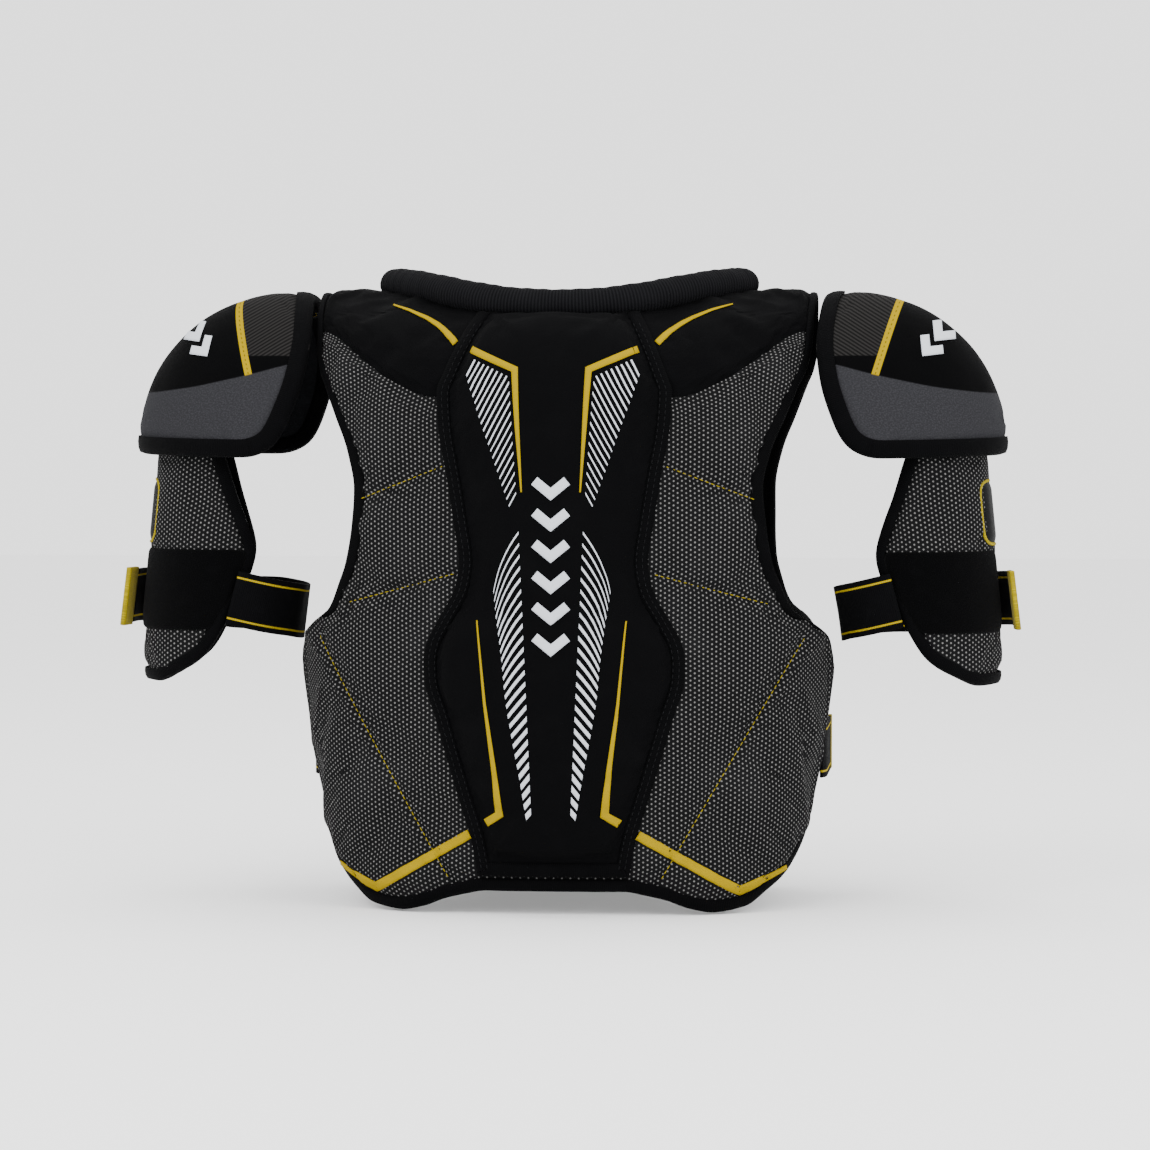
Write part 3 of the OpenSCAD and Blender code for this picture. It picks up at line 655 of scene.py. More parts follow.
def centre_tape(name, side, half_w, low, high, width=9.0):
    """The sewn tape round a centre pad's flange."""
    hs = np.linspace(low, high, 130)
    up = [(float(half_w(h)), float(h)) for h in hs]
    bottom = [(x, low) for x in np.linspace(-up[0][0], up[0][0], 30)[1:-1]]
    pts = np.array([(-x, h) for x, h in up[::-1]] + bottom + up)
    section = [(0.0, 0.7), (0.2, 2.2), (width * 0.3, 3.1), (width * 0.7, 3.3), (width, 2.9), (width, 0.7)]
    rings = []
    for (x, h), (nx, nh) in zip(pts, left_of(directions(pts))):
        ring = []
        for inset, lift in section:
            px, ph = x + nx * inset, h + nh * inset
            ring.append(vest_point(centre_angle(px, vest_z(ph, 0), side), ph, side, -lift))
        rings.append(ring)
    return sweep(name, rings, tape)


def collar():
    """The roll behind the neck, from shoulder to shoulder, with rounded ends."""
    n, m = 120, 20
    end = NECK_HALF_W - 1
    xs = end * np.sin(np.linspace(-math.pi / 2, math.pi / 2, n))

    def at(x, lift):
        phi = 58 + 32 * (np.abs(x) / NECK_HALF_W) ** (1 / 0.45)
        a = np.degrees(np.arcsin(x / VEST_HALF_W))
        return vest_point(a, ARCH_START + phi * ARCH_LEN / 90, BACK, -lift)

    centre = at(xs, 4.6)
    t = directions(centre)
    across = unit(np.cross(t, np.array([0, -0.5, 1.0])))
    up = np.cross(across, t)
    s = np.linspace(0, 1, n)
    size = np.clip(np.sqrt(np.maximum(0, 1 - (np.abs(2 * s - 1)) ** 26)), 0.08, 1)
    rings = []
    for i in range(n):
        ring = []
        for j in range(m):
            q = 2 * math.pi * j / m
            pucker = 1 + 0.02 * math.sin(i * 1.7) + 0.015 * math.sin(i * 0.61 + j)
            r_across, r_up = 11.5 * size[i] * pucker, 10.6 * size[i] * pucker
            ring.append(centre[i] + r_across * math.cos(q) * across[i] + r_up * math.sin(q) * up[i])
        rings.append(ring)
    return sweep("collar_roll_lined", rings, rib_lining)


for side, prefix, body in ((BACK, "back", "back"), (FRONT, "chest", "chest")):
    yoke_prefix = "back" if side == BACK else "front"
    for which, mirror in (("right", False), ("left", True)):
        lines = STITCH_LINES if side == BACK else STITCH_LINES[:2]
        pad = vest_pad(f"{prefix}_pad_{which}", side, mirror, lambda u: hem_h(u, PAD_INSET),
                       lambda u: fabric_change_h(u) + SEAM_OVERLAP, 56, 112, mesh_cloth, lines, True)
        finish_piece(pad, body, [f"{prefix}_cover_{which}", f"{prefix}_foam_{which}"])
        yoke = vest_pad(f"{yoke_prefix}_yoke_pad_{which}", side, mirror,
                        lambda u: fabric_change_h(u) - SEAM_OVERLAP, lambda u: SHOULDER_H - 0.8 + 0 * u,
                        48, 46, knit, [], False)
        finish_piece(yoke, body, [f"{yoke_prefix}_yoke_{which}"])
    tape_piece = vest_binding(f"{yoke_prefix}_edge_tape", side)
    bindings = [f"{yoke_prefix}_binding_left", f"{yoke_prefix}_binding_right"]
    finish_piece(tape_piece, body, bindings)

for label, side, body, extent, rows, cols in (
        ("spine", BACK, "back", SPINE, 130, 60), ("sternum", FRONT, "chest", STERNUM, 100, 50)):
    pad = centre_pad(f"{label}_pad", side, *extent, CENTRE_RISE, rows, cols, knit)
    finish_piece(pad, body, [f"{label}_cover", f"{label}_foam"])
    finish_piece(centre_tape(f"{label}_flange_tape", side, *extent), body)
finish_piece(collar(), "back", ["collar_roll"])

# ---------------------------------------------------------------- linings inside the vest

LINING_INSET, QUILT = 7.0, 36.0


def vest_lining(name, side, top):
    u, v = np.meshgrid(np.linspace(-1, 1, 90), np.linspace(0, 1, 80))
    h = mixed(hem_h(u, LINING_INSET), top, v)
    a = u * (armhole(h) - LINING_INSET * DEG_PER_MM)
    base = vest_point(a, h, side, PAD_T)
    uv = np.stack([lengths(base, 1), lengths(base, 0)], -1)
    quilt = 0.5 * np.abs(np.sin(uv * math.pi / QUILT)).prod(-1) ** 0.5
    outer = vest_point(a, h, side, PAD_T - 1.4)
    inner = vest_point(a, h, side, PAD_T - 0.6 + quilt)
    return sheet(name, outer, inner, lining, False, uv)


finish_piece(vest_lining("back_lining", BACK, 424), "back", ["back_liner"])
finish_piece(vest_lining("chest_lining", FRONT, 366), "chest", ["chest_liner"])

# ---------------------------------------------------------------- shoulder caps

CAP_X, CAP_REACH, CAP_RIM_Z, CAP_RISE, CAP_HALF_Y, CAP_T = 190.0, 114.0, 310.0, 113.0, 85.0, 9.0
CAP_SIZE = np.array([CAP_REACH, CAP_HALF_Y, CAP_RISE])
CAP_MIDDLE = np.array([CAP_X, 0, CAP_RIM_Z])
CAP_TOP_ANGLE, CAP_POWER = 95.0, 2.15
cap_edge_x = curve([(0, 213), (0.12, 199), (0.24, 192), (0.45, 184), (0.68, 177.5), (1, 173.5)])
cap_edge_z = curve([(0, 309), (0.12, 315), (0.24, 323), (0.45, 341), (0.68, 361), (1, 386)])


def cap_round(u, w):
    return (np.abs(u) ** CAP_POWER + np.abs(w) ** CAP_POWER) ** (1 / CAP_POWER)


def cap_point(v, w, off):
    """The cap's surface: v from back to front, w from the rim up to the inner edge, off below it."""
    v, w, off = aligned(v, w, off)
    tilt = mixed(0.5, CAP_TOP_ANGLE, w)
    ridge = np.stack([deg(np.cos, tilt), 0 * tilt, deg(np.sin, tilt)], -1)
    ridge /= cap_round(ridge[..., 0], ridge[..., 2])[..., None]
    u, z = (cap_edge_x(w) - CAP_X) / CAP_REACH, (cap_edge_z(w) - CAP_RIM_Z) / CAP_RISE
    end = np.stack([u, np.sqrt(1 - cap_round(u, z) ** 2), z], -1)
    turn = np.arccos((unit(ridge) * unit(end)).sum(-1))[..., None]
    side = np.abs(v)[..., None]
    q = np.sin((1 - side) * turn) * ridge + np.sin(side * turn) * end
    q /= np.sqrt(cap_round(q[..., 0], q[..., 2]) ** 2 + q[..., 1] ** 2)[..., None]
    q[..., 1] *= np.sign(v)
    return CAP_MIDDLE + (CAP_SIZE - off[..., None]) * q


def cap_layer(name, off0, off1, cols, rows, inset, material, mirror, drop=0.0, waves=0.0):
    v, w = np.meshgrid(np.linspace(-1 + inset, 1 - inset, cols), np.linspace(inset, 1 - inset, rows))
    base = cap_point(v, w, 0)
    su, sv, edge = borders(base)
    x, y, z = np.moveaxis(base, -1, 0)
    wave = np.sin(x / 9 + y / 14) * np.sin(z / 12 - y / 19) * ease(edge / 20)
    outer = cap_point(v, w, off0 + drop * (1 - ease(edge / 14)) - waves * wave)
    o = sheet(name, outer, cap_point(v, w, off1), material, mirror, np.stack([su, sv], -1))
    add_uv(o.data, "flat", np.concatenate([np.stack([x, z], -1).reshape(-1, 2)] * 2))
    return o, edge


def rounded_loop(line, passes, step=2.4):
    """A closed line of points, evenly spaced and with its corners rounded."""
    line = np.concatenate([line, line[:1]])
    run = lengths(line, 0)
    at = np.linspace(0, run[-1], int(run[-1] / step), endpoint=False)
    line = np.stack([np.interp(at, run, line[:, k]) for k in range(line.shape[1])], -1)
    for _ in range(passes):
        line = (np.roll(line, 1, axis=0) + 2 * line + np.roll(line, -1, axis=0)) / 4
    return line


def cap_tape(name, mirror, width=12.5):
    """The wide tape folded over the cap's edge, all the way round."""
    line = rounded_loop(cap_point(*round_square(), 0), 10)
    inward = np.cross(unit((line - CAP_MIDDLE) / CAP_SIZE**2), directions(line, True))
    inward *= np.sign(((cap_point(0.0, 0.5, 0.0) - line) * inward).sum(1).mean())
    columns = []
    for inset, off in tape_profile(width, -1.2, CAP_T + 0.8):
        q = (line + inward * inset - CAP_MIDDLE) / CAP_SIZE
        q /= np.sqrt(cap_round(q[:, 0], q[:, 2]) ** 2 + q[:, 1] ** 2)[:, None]
        columns.append(CAP_MIDDLE + (CAP_SIZE - off) * q)
    return sweep(name, np.stack(columns, 1), tape, closed_path=True, mirror=mirror)


# ---------------------------------------------------------------- bicep pads and their straps

ARM_X, ARM_R, ARM_R_Y = 246.0, 54.0, 55.0
BICEP_BOTTOM, BICEP_TOP, BICEP_T = 152.0, 332.0, 9.0
bicep_edge = curve([(152, 45), (158, 60), (165, 77), (173, 88), (184, 96), (203, 108), (222, 117), (240, 122),
                    (261, 114), (282, 103), (310, 90), (332, 78)])


def bicep_at(g, z, off):
    g, z, off = aligned(g, z, off)
    x = ARM_X - 0.1 * np.maximum(0, z - 200) + (ARM_R - off) * deg(np.cos, g)
    return np.stack([x, (ARM_R_Y - off) * deg(np.sin, g), z], -1)


def bicep_angle(a, z):
    return np.where(a < 0, a, a * 0.85) * bicep_edge(z)


def bicep_pad(name, mirror):
    a, b = np.meshgrid(np.linspace(-0.955, 0.955, 90), np.linspace(0.028, 0.972, 76))
    z = mixed(BICEP_BOTTOM, BICEP_TOP, b)
    g = bicep_angle(a, z)
    su, _, edge = borders(bicep_at(g, z, 0))
    drop = 2.4 * (1 - ease(edge / 13)) - 0.3 * np.sin(z / 8 + su / 13) * ease(edge / 20)
    inner = bicep_at(g, z, BICEP_T - 2.0 * (1 - ease(edge / 9)))
    uv = np.stack([g * math.radians(ARM_R), z], -1)
    under_patch = ease((z - 184) / 6) * ease((248 - z) / 6) * ease((6 - g) / 8)
    o = sheet(name, bicep_at(g, z, drop), inner, mesh_cloth, mirror, uv)
    return puffs(o, np.maximum(1 - ease((edge - 3) / 7), under_patch), 2.2)


def bicep_tape(name, mirror, width=8.5):
    a, b = round_square()
    z = mixed(BICEP_BOTTOM, BICEP_TOP, b)
    line = rounded_loop(np.stack([bicep_angle(a, z) * math.radians(ARM_R), z], -1), 12)
    inward = left_of(directions(line, True))
    columns = []
    for inset, off in tape_profile(width, -0.9, BICEP_T + 0.3):
        q = line + inward * inset
        columns.append(bicep_at(q[:, 0] / math.radians(ARM_R), q[:, 1], off))
    return sweep(name, np.stack(columns, 1), tape, closed_path=True, mirror=mirror)


def on_bicep(u, v, low, high, z0, z1, lift):
    z = mixed(z0, z1, (v + 1) / 2)
    return bicep_at(mixed(low(z), high, (u + 1) / 2), z, -lift)


def bicep_patch(name, mirror, low, high, z0, z1, lift, thick, material, soft=2.0, power=9.0):
    """A patch on the bicep pad's outside, with rounded corners and a soft edge. low is one end, by height."""
    u, v = np.meshgrid(np.linspace(-1, 1, 50), np.linspace(-1, 1, 36))
    r = np.maximum(np.abs(u), np.abs(v))
    n = (np.abs(u) ** power + np.abs(v) ** power) ** (1 / power)
    k = np.where(n > 0, r / np.maximum(n, 1e-9), 1)
    u, v = u * k, v * k
    top = lift + thick * np.sqrt(np.clip((1 - r) * (z1 - z0) / 2 / soft, 0.02, 1))
    outer, inner = (on_bicep(u, v, low, high, z0, z1, level) for level in (top, lift - 1.0))
    return sheet(name, outer, inner, material, mirror)


def bicep_piping(name, mirror, low, high, z0, z1, lift, radius, material, power=6.0):
    """A cord round the edge of a patch."""
    turn = np.linspace(0, 2 * math.pi, 120, endpoint=False)
    c, q = np.cos(turn), np.sin(turn)
    u, v = np.sign(c) * np.abs(c) ** (2 / power), np.sign(q) * np.abs(q) ** (2 / power)
    line = rounded_loop(on_bicep(u, v, low, high, z0, z1, lift), 2, 1.6)
    out = unit((line - (ARM_X, 0, 0)) * (1, 1, 0))
    side = np.cross(directions(line, True), out)
    rings = np.stack([line + radius * (math.cos(w) * out + math.sin(w) * side)
                      for w in np.linspace(0, 2 * math.pi, 8, endpoint=False)], 1)
    return sweep(name, rings, material, closed_path=True, mirror=mirror)


STRAP_TILT, ARM_STRAP_Z = 7.0, 203.0
ROOT_TILT, ROOT_RISE, FAR_RISE = 14.7, 13.3, 3.5
ROOT_LINE = [(229, -57.5), (226, -56.5), (212, -50.5), (200, -40), (192, -26), (188, -8), (188, 8), (191, 26),
             (199, 42), (213, 54), (232, 62), (252, 64), (272, 60), (290, 49), (302, 33), (308, 14),
             (308.5, -4)]
TAB_LINE = [(308.9, -7), (309.3, -11), (309.7, -16), (311, -26)]


def smooth_line(points, step=2.0):
    """A smooth line through points, with a point every step millimetres."""
    p = np.array(points, float)
    t = lengths(p, 0)
    q = np.linspace(0, t[-1], int(t[-1] / step) + 1)
    return np.stack([curve(np.stack([t, p[:, k]], -1))(q) for k in range(p.shape[1])], -1)


def band(name, line, width, thick, material, mirror, place):
    """A strap lying along a line in its own flat drawing, then put in place."""
    section = [(-1, -0.6), (-0.985, -1), (-0.5, -1), (0, -1), (0.5, -1), (0.985, -1), (1, -0.6),
               (1, 0.6), (0.985, 1), (0.5, 1), (0, 1), (-0.5, 1), (-0.985, 1), (-1, 0.6)]
    rings = []
    for p, n in zip(line, left_of(directions(line))):
        rings.append([place(*(p + n * s_t * thick / 2), s_w * width / 2) for s_w, s_t in section])
    across = [(s_w + 1) * width / 2 for s_w, _ in section]
    return sweep(name, rings, material, mirror=mirror, across=across)


def on_arm(x, y, w):
    """From the arm strap's flat drawing to its place. Its sewn end, towards the back, tilts more."""
    root = float(ease((10 - y) / 40) * ease((250 - x) / 20))
    far = float(ease((250 - x) / 40)) * (1 - root)
    tilt = math.radians(mixed(STRAP_TILT, ROOT_TILT, root))
    c, s = math.cos(tilt), math.sin(tilt)
    dx = x - ARM_X
    return (ARM_X + dx * c - w * s, y, ARM_STRAP_Z + ROOT_RISE * root + FAR_RISE * far + dx * s + w * c)


SIDE_STRAP_Z, LANDING_HALF, LINK_W = 105.0, 23.0, 28.0


def across_side(x, y, w):
    return (x, y, SIDE_STRAP_Z + w)


def across_cap(x, z, w):
    return (x, w, z)


for which, mirror, sx in (("right", False, 1), ("left", True, -1)):
    cap, arm = f"cap_{which}", f"bicep_{which}"
    cover, edge = cap_layer(f"cap_pad_{which}", 0.0, 1.4, 110, 80, 0.035, cap_cloth, mirror, 1.3, 0.25)
    puffs(cover, 1 - ease((edge - 4) / 8), 1.2, 2.5, 0.015)
    finish_piece(cover, cap, [f"cap_cover_{which}"])
    shell, _ = cap_layer(f"cap_moulded_shell_{which}", 1.9, 4.0, 40, 30, 0.09, plastic, mirror)
    finish_piece(shell, cap, [f"cap_shell_{which}"])
    inside, _ = cap_layer(f"cap_padding_{which}", 4.4, 9.0, 70, 50, 0.045, lining, mirror)
    finish_piece(inside, cap, [f"cap_lining_{which}"])
    finish_piece(cap_tape(f"cap_rim_tape_{which}", mirror), cap, [f"cap_binding_{which}"])

    pad = bicep_pad(f"bicep_pad_{which}", mirror)
    finish_piece(pad, arm, [f"bicep_cover_{which}", f"bicep_foam_{which}"])
    finish_piece(bicep_tape(f"bicep_edge_tape_{which}", mirror), arm, [f"bicep_binding_{which}"])
    patch = bicep_patch(f"bicep_loop_tape_{which}", mirror, lambda z: 9.0 - bicep_edge(z), -8, 189, 245, 0.9,
                        1.3, loop_tape, power=16.0)
    finish_piece(patch, arm, [f"bicep_loop_patch_{which}"])
    plate = bicep_patch(f"bicep_outer_plate_{which}", mirror, lambda z: -27 + 0 * z, 50, 250, 292, 0.6, 1.8,
                        black_plastic, 5.0)
    finish_piece(plate, arm, [f"bicep_plate_{which}"])
    cord = bicep_piping(f"bicep_plate_piping_{which}", mirror, lambda z: -29 + 0 * z, 52, 249, 293, 1.0, 1.2,
                        hook_tape)
    finish_piece(cord, arm)

    flat = smooth_line(ROOT_LINE)
    strap_piece = band(f"arm_strap_webbing_{which}", flat, STRAP_W, STRAP_T, webbing, mirror, on_arm)
    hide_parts(f"arm_strap_{which}", f"arm_strap_root_{which}")
    # The bend runs aslant, so that the strap's far tip, which comes back round the arm, lies past its end.
    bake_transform(strap_piece)
    tab = band(f"arm_hook_tab_{which}", smooth_line(TAB_LINE), STRAP_W + 3, 3.2, hook_tape, mirror, on_arm)
    finish_piece(tab, f"arm_tab_{which}", [f"arm_strap_tab_{which}"])

    line = smooth_line([(176.4, -10), (178.6, -3), (179.2, 4), (179.2, 30), (179.2, 61.4)])
    side = band(f"side_strap_webbing_{which}", line, STRAP_W, STRAP_T, webbing, mirror, across_side)
    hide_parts(f"side_strap_{which}")
    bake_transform(side)
    line = smooth_line([(179.2, 63.8), (179.2, 78.6)])
    tab = band(f"side_hook_tab_{which}", line, STRAP_W, 2.6, hook_tape, mirror, across_side)
    finish_piece(tab, f"side_tab_{which}", [f"side_strap_tab_{which}"])

    link_line = smooth_line([(177.6, 408.5), (181, 407), (190, 406), (200, 405)])
    link = band(f"cap_link_webbing_{which}", link_line, LINK_W, STRAP_T, webbing, mirror, across_cap)
    finish_piece(link, cap, [f"cap_webbing_{which}"])
    hang_line = smooth_line([(273.4, 316.5), (273.6, 340), (273.4, 369)])
    hanger = band(f"bicep_hanger_webbing_{which}", hang_line, LINK_W, STRAP_T, webbing, mirror, across_cap)
    finish_piece(hanger, cap, [f"bicep_hanger_{which}"])

    rise = np.linspace(SIDE_STRAP_Z - LANDING_HALF, SIDE_STRAP_Z + LANDING_HALF, 40)
    landing_a, landing_z = np.meshgrid(np.linspace(52, 80, 40), rise)
    outer, inner = (vest_point(landing_a, landing_z, FRONT, off) for off in (-1.6, 1.5))
    landing = sheet(f"strap_loop_tape_{which}", outer, inner, loop_tape, mirror)
    finish_piece(landing, "chest", [f"strap_landing_{which}"])

for node in ("spine_plate", "sternum_plate"):
    frame["nodes"][node].data.materials.clear()
    frame["nodes"][node].data.materials.append(plastic)

simulate()

# ---------------------------------------------------------------- prints and stitching, laid on the cloth


def skin(*objects):
    """One search tree of the outsides that prints and threads lie on."""
    verts, faces = [], []
    for o in objects:
        base = len(verts)
        verts += [o.matrix_world @ v.co for v in o.data.vertices]
        faces += [[base + k for k in f.vertices] for f in o.data.polygons]
    return BVHTree.FromPolygons(verts, faces)


def laid(tree, x, z, lift, side=BACK):
    """The point of the cloth seen at (x, z) from the back or the front, lifted off it; all in millimetres."""
    hit, normal, _, _ = tree.ray_cast(Vector((x * MM, side * 0.3, z * MM)), Vector((0, -side, 0)))
    if hit is None:
        return None
    if normal.y * side < 0:
        normal = -normal
    return np.array(hit + normal * lift * MM) / MM


def laid_piece(name, verts, faces, material, body):
    verts = np.array(verts)
    return finish_piece(new_object(name, verts, faces, verts[:, ::2], material), body)


def decal(name, tree, shapes, material, body="back", signs=(1, -1), lift=0.6):
    """Thin printed shapes: each is a pair of outlines in (x, z), start to end, joined across."""
    verts, faces = [], []
    for left, right in shapes:
        for sx in signs:
            widest = max(math.hypot(b[0] - a[0], b[1] - a[1]) for a, b in zip(left, right))
            n = max(2, int(widest / 3) + 2)
            rows = [[(sx * mixed(a[0], b[0], k), mixed(a[1], b[1], k)) for k in np.linspace(0, 1, n)]
                    for a, b in zip(left, right)]
            tops = [[laid(tree, x, z, lift) for x, z in r] for r in rows]
            tops = [r for r in tops if all(p is not None for p in r)]
            if len(tops) < 2:
                continue
            base = len(verts)
            verts += [p for r in tops for p in r] + [p + (0, 0.7, 0) for r in tops for p in r]
            faces += [[base + k for k in (f if sx > 0 else f[::-1])] for f in sheet_faces(len(tops), n)]
    return laid_piece(name, verts, faces, material, body)


def line_shape(points, step=1.5):
    """A printed line through (x, z, width) points, mitred at its corners."""
    p = np.array(points, float)
    d = unit(np.diff(p[:, :2], axis=0))
    left, right = [], []
    for k in range(len(p)):
        before, after = d[max(k - 1, 0)], d[min(k, len(d) - 1)]
        n = unit(np.array([-(before[1] + after[1]), before[0] + after[0]]))
        n *= p[k, 2] / 2 / max(0.4, n @ np.array([-after[1], after[0]]))
        left.append(p[k, :2] + n)
        right.append(p[k, :2] - n)
    fine_l, fine_r = [left[0]], [right[0]]
    for k in range(len(p) - 1):
        m = max(1, int(np.linalg.norm(p[k + 1, :2] - p[k, :2]) / step))
        for q in range(1, m + 1):
            fine_l.append(mixed(left[k], left[k + 1], q / m))
            fine_r.append(mixed(right[k], right[k + 1], q / m))
    return fine_l, fine_r


def stroke(a, b, width, cut_a, cut_b, bow=0.0):
    """One hatch stroke from a to b, its ends cut along cut_a and cut_b, bowed in the middle."""
    a, b = np.array(a, float), np.array(b, float)
    d = unit(b - a)
    n = np.array([-d[1], d[0]])
    ends = []
    for cut in (cut_a, cut_b):
        cut = np.array(cut, float)
        ends.append(cut * width / 2 / (cut @ n))
    outward = n * (1 if n[0] > 0 else -1) * bow
    left, right = [], []
    for t in np.linspace(0, 1, 9):
        middle = mixed(a, b, t) + outward * 4 * t * (1 - t)
        half = mixed(ends[0], ends[1], t)
        left.append(middle + half)
        right.append(middle - half)
    return left, right


def crossing(point, direction, outline):
    """Where a line from a point along a direction first meets an outline, and that edge's direction."""
    best = None
    for (ax, az), (bx, bz) in zip(outline, outline[1:]):
        ex, ez = bx - ax, bz - az
        det = direction[0] * -ez + direction[1] * ex
        if abs(det) < 1e-9:
            continue
        rx, rz = ax - point[0], az - point[1]
        t = (rx * -ez + rz * ex) / det
        q = (direction[0] * rz - direction[1] * rx) / det
        if 0 <= q <= 1 and t > 0 and (best is None or t < best[0]):
            best = (t, (ex, ez))
    if best is None:
        return None, None
    return (point[0] + direction[0] * best[0], point[1] + direction[1] * best[0]), best[1]


def upper_hatch(count=22):
    """Strokes that rise towards the middle, from the outer slanting line to the inner one."""
    shapes = []
    inner = [(55.4, 377.3), (28.7, 364.4), (23.0, 281.4)]
    for k in range(count):
        t = k / (count - 1)
        start = (mixed(60, 26.5, t), mixed(369.7, 273.4, t))
        end, cut = crossing(start, (-0.47, 0.88), inner)
        if end is not None:
            shapes.append(stroke(start, end, mixed(1.25, 0.75, t), (-0.33, -0.94), cut))
    return shapes


def lower_hatch(count=25):
    """Strokes that fall away from the middle; the first ones are long and bowed."""
    outer_x = curve([(0, 39.4), (0.333, 33.3), (0.5, 30.9), (0.667, 26.6), (0.833, 21.4), (1, 16.9)])
    outer_z = curve([(0, 219.2), (0.333, 173.9), (0.5, 149.1), (0.667, 122.8), (0.833, 95.4), (1, 68.5)])
    shapes = []
    for k in range(count):
        t = k / (count - 1)
        inner = (mixed(21.7, 13.4, t), mixed(260.1, 72.5, t))
        outer = (float(outer_x(t)), float(outer_z(t)))
        bow = 2.6 * max(0, 1 - 1.6 * t)
        shapes.append(stroke(inner, outer, mixed(0.8, 3.2, t), (-0.05, -1), (-0.2, -1), bow))
    return shapes


def chevrons(x, z, half_w, height, thick, count, pitch, turn=0.0):
    """A plain row of arrowheads in place of lettering."""
    c, s = math.cos(math.radians(turn)), math.sin(math.radians(turn))
    shapes = []
    for k in range(count):
        pts = [(-half_w, height), (0, 0), (half_w, height)]
        pts = [(px, pz - k * pitch) for px, pz in pts]
        shapes.append(line_shape([(x + px * c - pz * s, z + px * s + pz * c, thick) for px, pz in pts]))
    return shapes


# A stitch's pitch, length and radius; the rows on a centre pad's flange, in from its edge.
STITCH, FLANGE_STITCH, FLANGE_ROWS = (4.0, 2.9, 0.4), (4.2, 2.7, 0.4), (3.0, 7.0)


def stitches(name, tree, lines, pitch, length, radius, material, body, slot, side=BACK, signs=(1, -1)):
    """Short threads along lines of (x, z), each dipping into the cloth at its ends."""
    verts, faces = [], []
    sides, rings = 6, 5
    for line in lines:
        for sx in signs:
            p = np.array(line, float)
            run = lengths(p, 0)
            for start in np.arange(pitch / 2, run[-1] - length, pitch):
                at = start + np.linspace(0, length, rings)
                pts = [laid(tree, sx * np.interp(q, run, p[:, 0]), np.interp(q, run, p[:, 1]), 0.1, side)
                       for q in at]
                if any(q is None for q in pts):
                    continue
                pts = np.array(pts)
                axis = unit(pts[-1] - pts[0])
                out = unit(np.array([0, side, 0]) - axis * axis[1] * side)
                across = np.cross(axis, out)
                base = len(verts)
                for k, q in enumerate(pts):
                    arc = math.sin(math.pi * k / (rings - 1))
                    r = radius * (0.45 + 0.55 * arc)
                    centre = q + out * (arc - 0.6) * radius
                    for j in range(sides):
                        w = 2 * math.pi * j / sides
                        verts.append(centre + r * (math.cos(w) * across + math.sin(w) * out))
                for k in range(rings - 1):
                    for j in range(sides):
                        a, b = base + k * sides + j, base + k * sides + (j + 1) % sides
                        faces.append([a, b, b + sides, a + sides])
                faces.append([base + j for j in range(sides)][::-1])
                faces.append([base + (rings - 1) * sides + j for j in range(sides)])
    return laid_piece(name, verts, faces, material, body)


def made(*names):
    return [bpy.data.objects[n] for n in names]


back_skin = skin(*made("spine_pad", "spine_flange_tape", "back_pad_left", "back_pad_right",
                       "back_yoke_pad_left", "back_yoke_pad_right", "back_edge_tape"))
yellow_lines = [line_shape(pts) for pts in (
    [(56.2, 383, 4.8), (24.9, 369.5, 4.5), (22.6, 329.6, 3.0), (19.8, 287.3, 1.0)],
    [(50.3, 200.7, 1.0), (45, 145.2, 1.9), (38.6, 98.7, 3.5), (35.4, 69.7, 5.5), (45, 63.3, 5.6)],
    [(117, 414, 1.0), (104, 410, 1.7), (91, 404.5, 2.6), (83, 400, 3.3), (77, 395.6, 3.8), (71.5, 390.5, 4.4),
     (68.5, 387, 4.6)],
    [(57, 55.2, 6.4), (124.6, 15.5, 6.6), (163, 32, 2.2)])]
decal("yellow_back_prints", back_skin, yellow_lines, yellow_print)
decal("white_hatching", back_skin, upper_hatch() + lower_hatch(), white_print)
decal("spine_chevrons", back_skin, chevrons(0, 286, 11, 9, 6.5, 6, 21), white_print, signs=(1,))
for which, sx in (("right", 1), ("left", -1)):
    marks = chevrons(257, 392, 8, 8, 6, 2, 13, -38)
    decal(f"cap_chevrons_{which}", skin(*made(f"cap_pad_{which}")), marks, white_print, f"cap_{which}",
          (sx,))
front_skin = skin(*made("sternum_pad", "sternum_flange_tape", "chest_pad_left", "chest_pad_right"))
stitches("yellow_back_stitches", back_skin, STITCH_LINES, *STITCH, yellow_thread, "back", "print_fabric")
stitches("yellow_chest_stitches", front_skin, STITCH_LINES[:2], *STITCH, yellow_thread, "chest",
         "print_fabric", FRONT)
for label, tree, half_w, low, high, side, body in (
        ("spine", back_skin, spine_half_w, 30, 424, BACK, "back"),
        ("sternum", front_skin, sternum_half_w, 55, 345, FRONT, "chest")):
    rows = [[(float(half_w(h)) - inset, float(vest_z(h, 0))) for h in np.linspace(low, high, 90)]
            for inset in FLANGE_ROWS]
    stitches(f"{label}_flange_stitches", tree, rows, *FLANGE_STITCH, dark_thread, body, "binding", side)

# ---------------------------------------------------------------- floor, light and camera

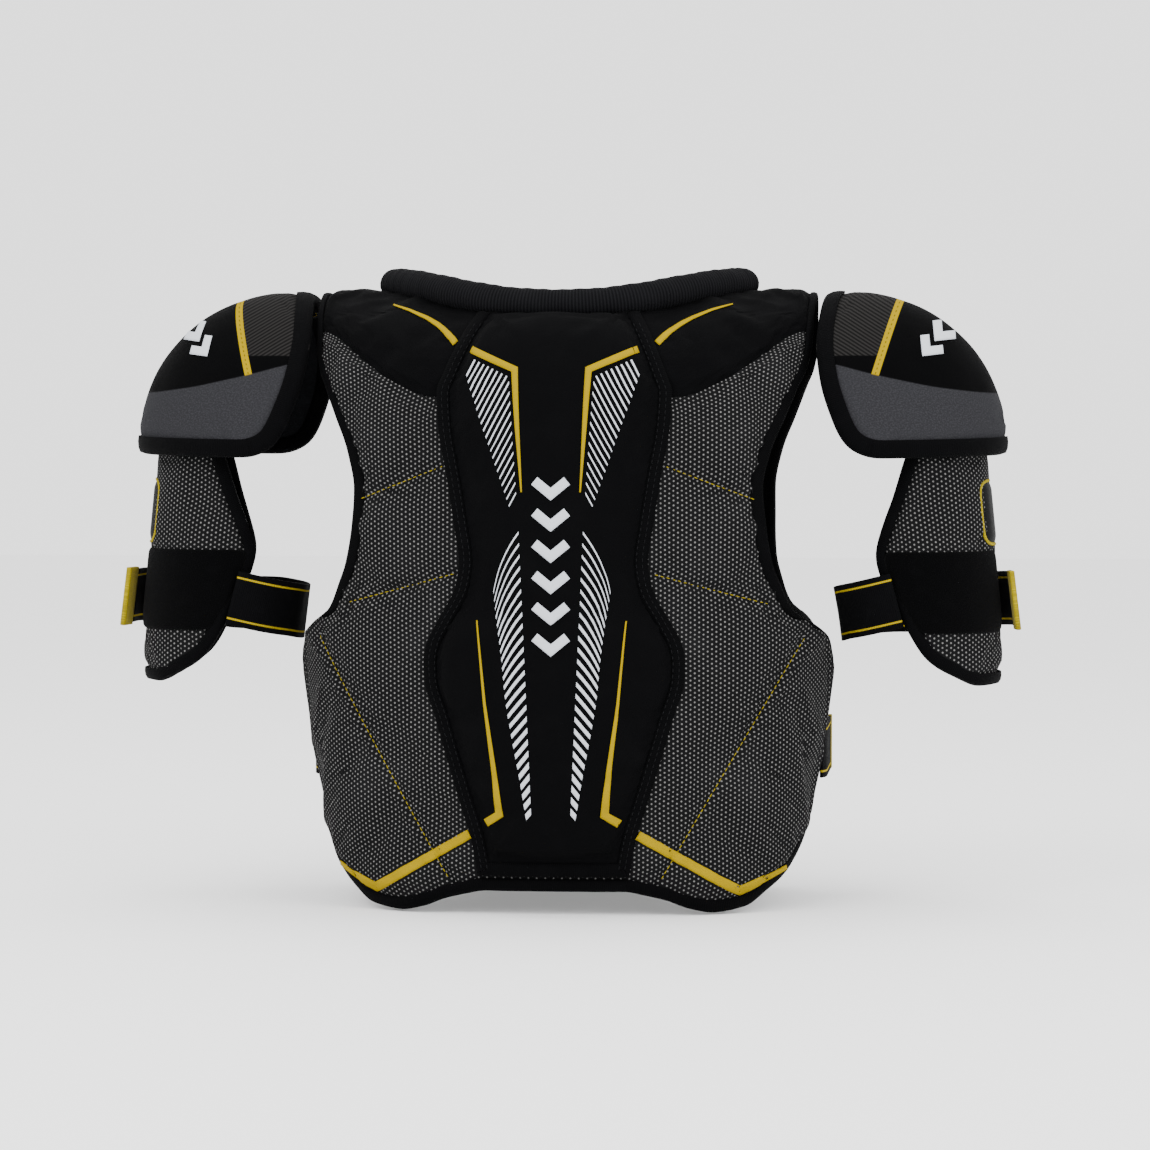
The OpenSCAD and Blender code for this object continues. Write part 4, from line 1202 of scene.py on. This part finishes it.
FLOOR_HALF, SKY_STRENGTH = 6.0, 2.1
LIGHTS = [("key", (-1.1, -1.9, 2.0), 1.6, 42), ("fill", (1.7, -1.5, 1.1), 1.4, 26),
          ("top", (0, 0.2, 2.3), 1.6, 22)]  # name, place, size, power
CAMERA_TURN, CAMERA_RISE, CAMERA_AWAY, CAMERA_AIM = 5.5, 2.5, 3.2, (0.0035, 0, 0.226)
SENSOR, VIEW_WIDTH = 36, 0.805  # millimetres on the sensor, metres across the picture at the aim point


def stage_and_camera():
    mesh = bpy.data.meshes.new("floor")
    s = FLOOR_HALF
    mesh.from_pydata([(-s, -s, 0), (s, -s, 0), (s, s, 0), (-s, s, 0)], [], [(0, 1, 2, 3)])
    floor = bpy.data.objects.new("floor", mesh)
    floor.location.z = -0.0005
    m = bpy.data.materials.new("floor")
    m.use_nodes = True
    bsdf = m.node_tree.nodes["Principled BSDF"]
    bsdf.inputs["Base Color"].default_value = (0.93, 0.93, 0.93, 1)
    bsdf.inputs["Roughness"].default_value = 0.9
    mesh.materials.append(m)
    scene.collection.objects.link(floor)
    world = bpy.data.worlds.new("studio") if scene.world is None else scene.world
    scene.world = world
    world.use_nodes = True
    background = world.node_tree.nodes["Background"].inputs
    background["Color"].default_value = (1, 1, 1, 1)
    background["Strength"].default_value = SKY_STRENGTH
    for name, place, size, power in LIGHTS:
        light = bpy.data.lights.new(name, "AREA")
        light.size = size
        light.energy = power
        o = bpy.data.objects.new(name, light)
        o.location = place
        o.rotation_euler = (Vector((0, 0, 0.25)) - Vector(place)).to_track_quat("-Z", "Y").to_euler()
        scene.collection.objects.link(o)
    az, el = math.radians(CAMERA_TURN), math.radians(CAMERA_RISE)
    cam_data = bpy.data.cameras.new("camera")
    cam = bpy.data.objects.new("camera", cam_data)
    direction = Vector((math.sin(az) * math.cos(el), -math.cos(az) * math.cos(el), math.sin(el)))
    cam.location = Vector(CAMERA_AIM) + direction * CAMERA_AWAY
    cam.rotation_euler = (-direction).to_track_quat("-Z", "Y").to_euler()
    cam_data.sensor_width = SENSOR
    cam_data.lens = SENSOR * CAMERA_AWAY / VIEW_WIDTH
    scene.collection.objects.link(cam)
    scene.camera = cam


stage_and_camera()
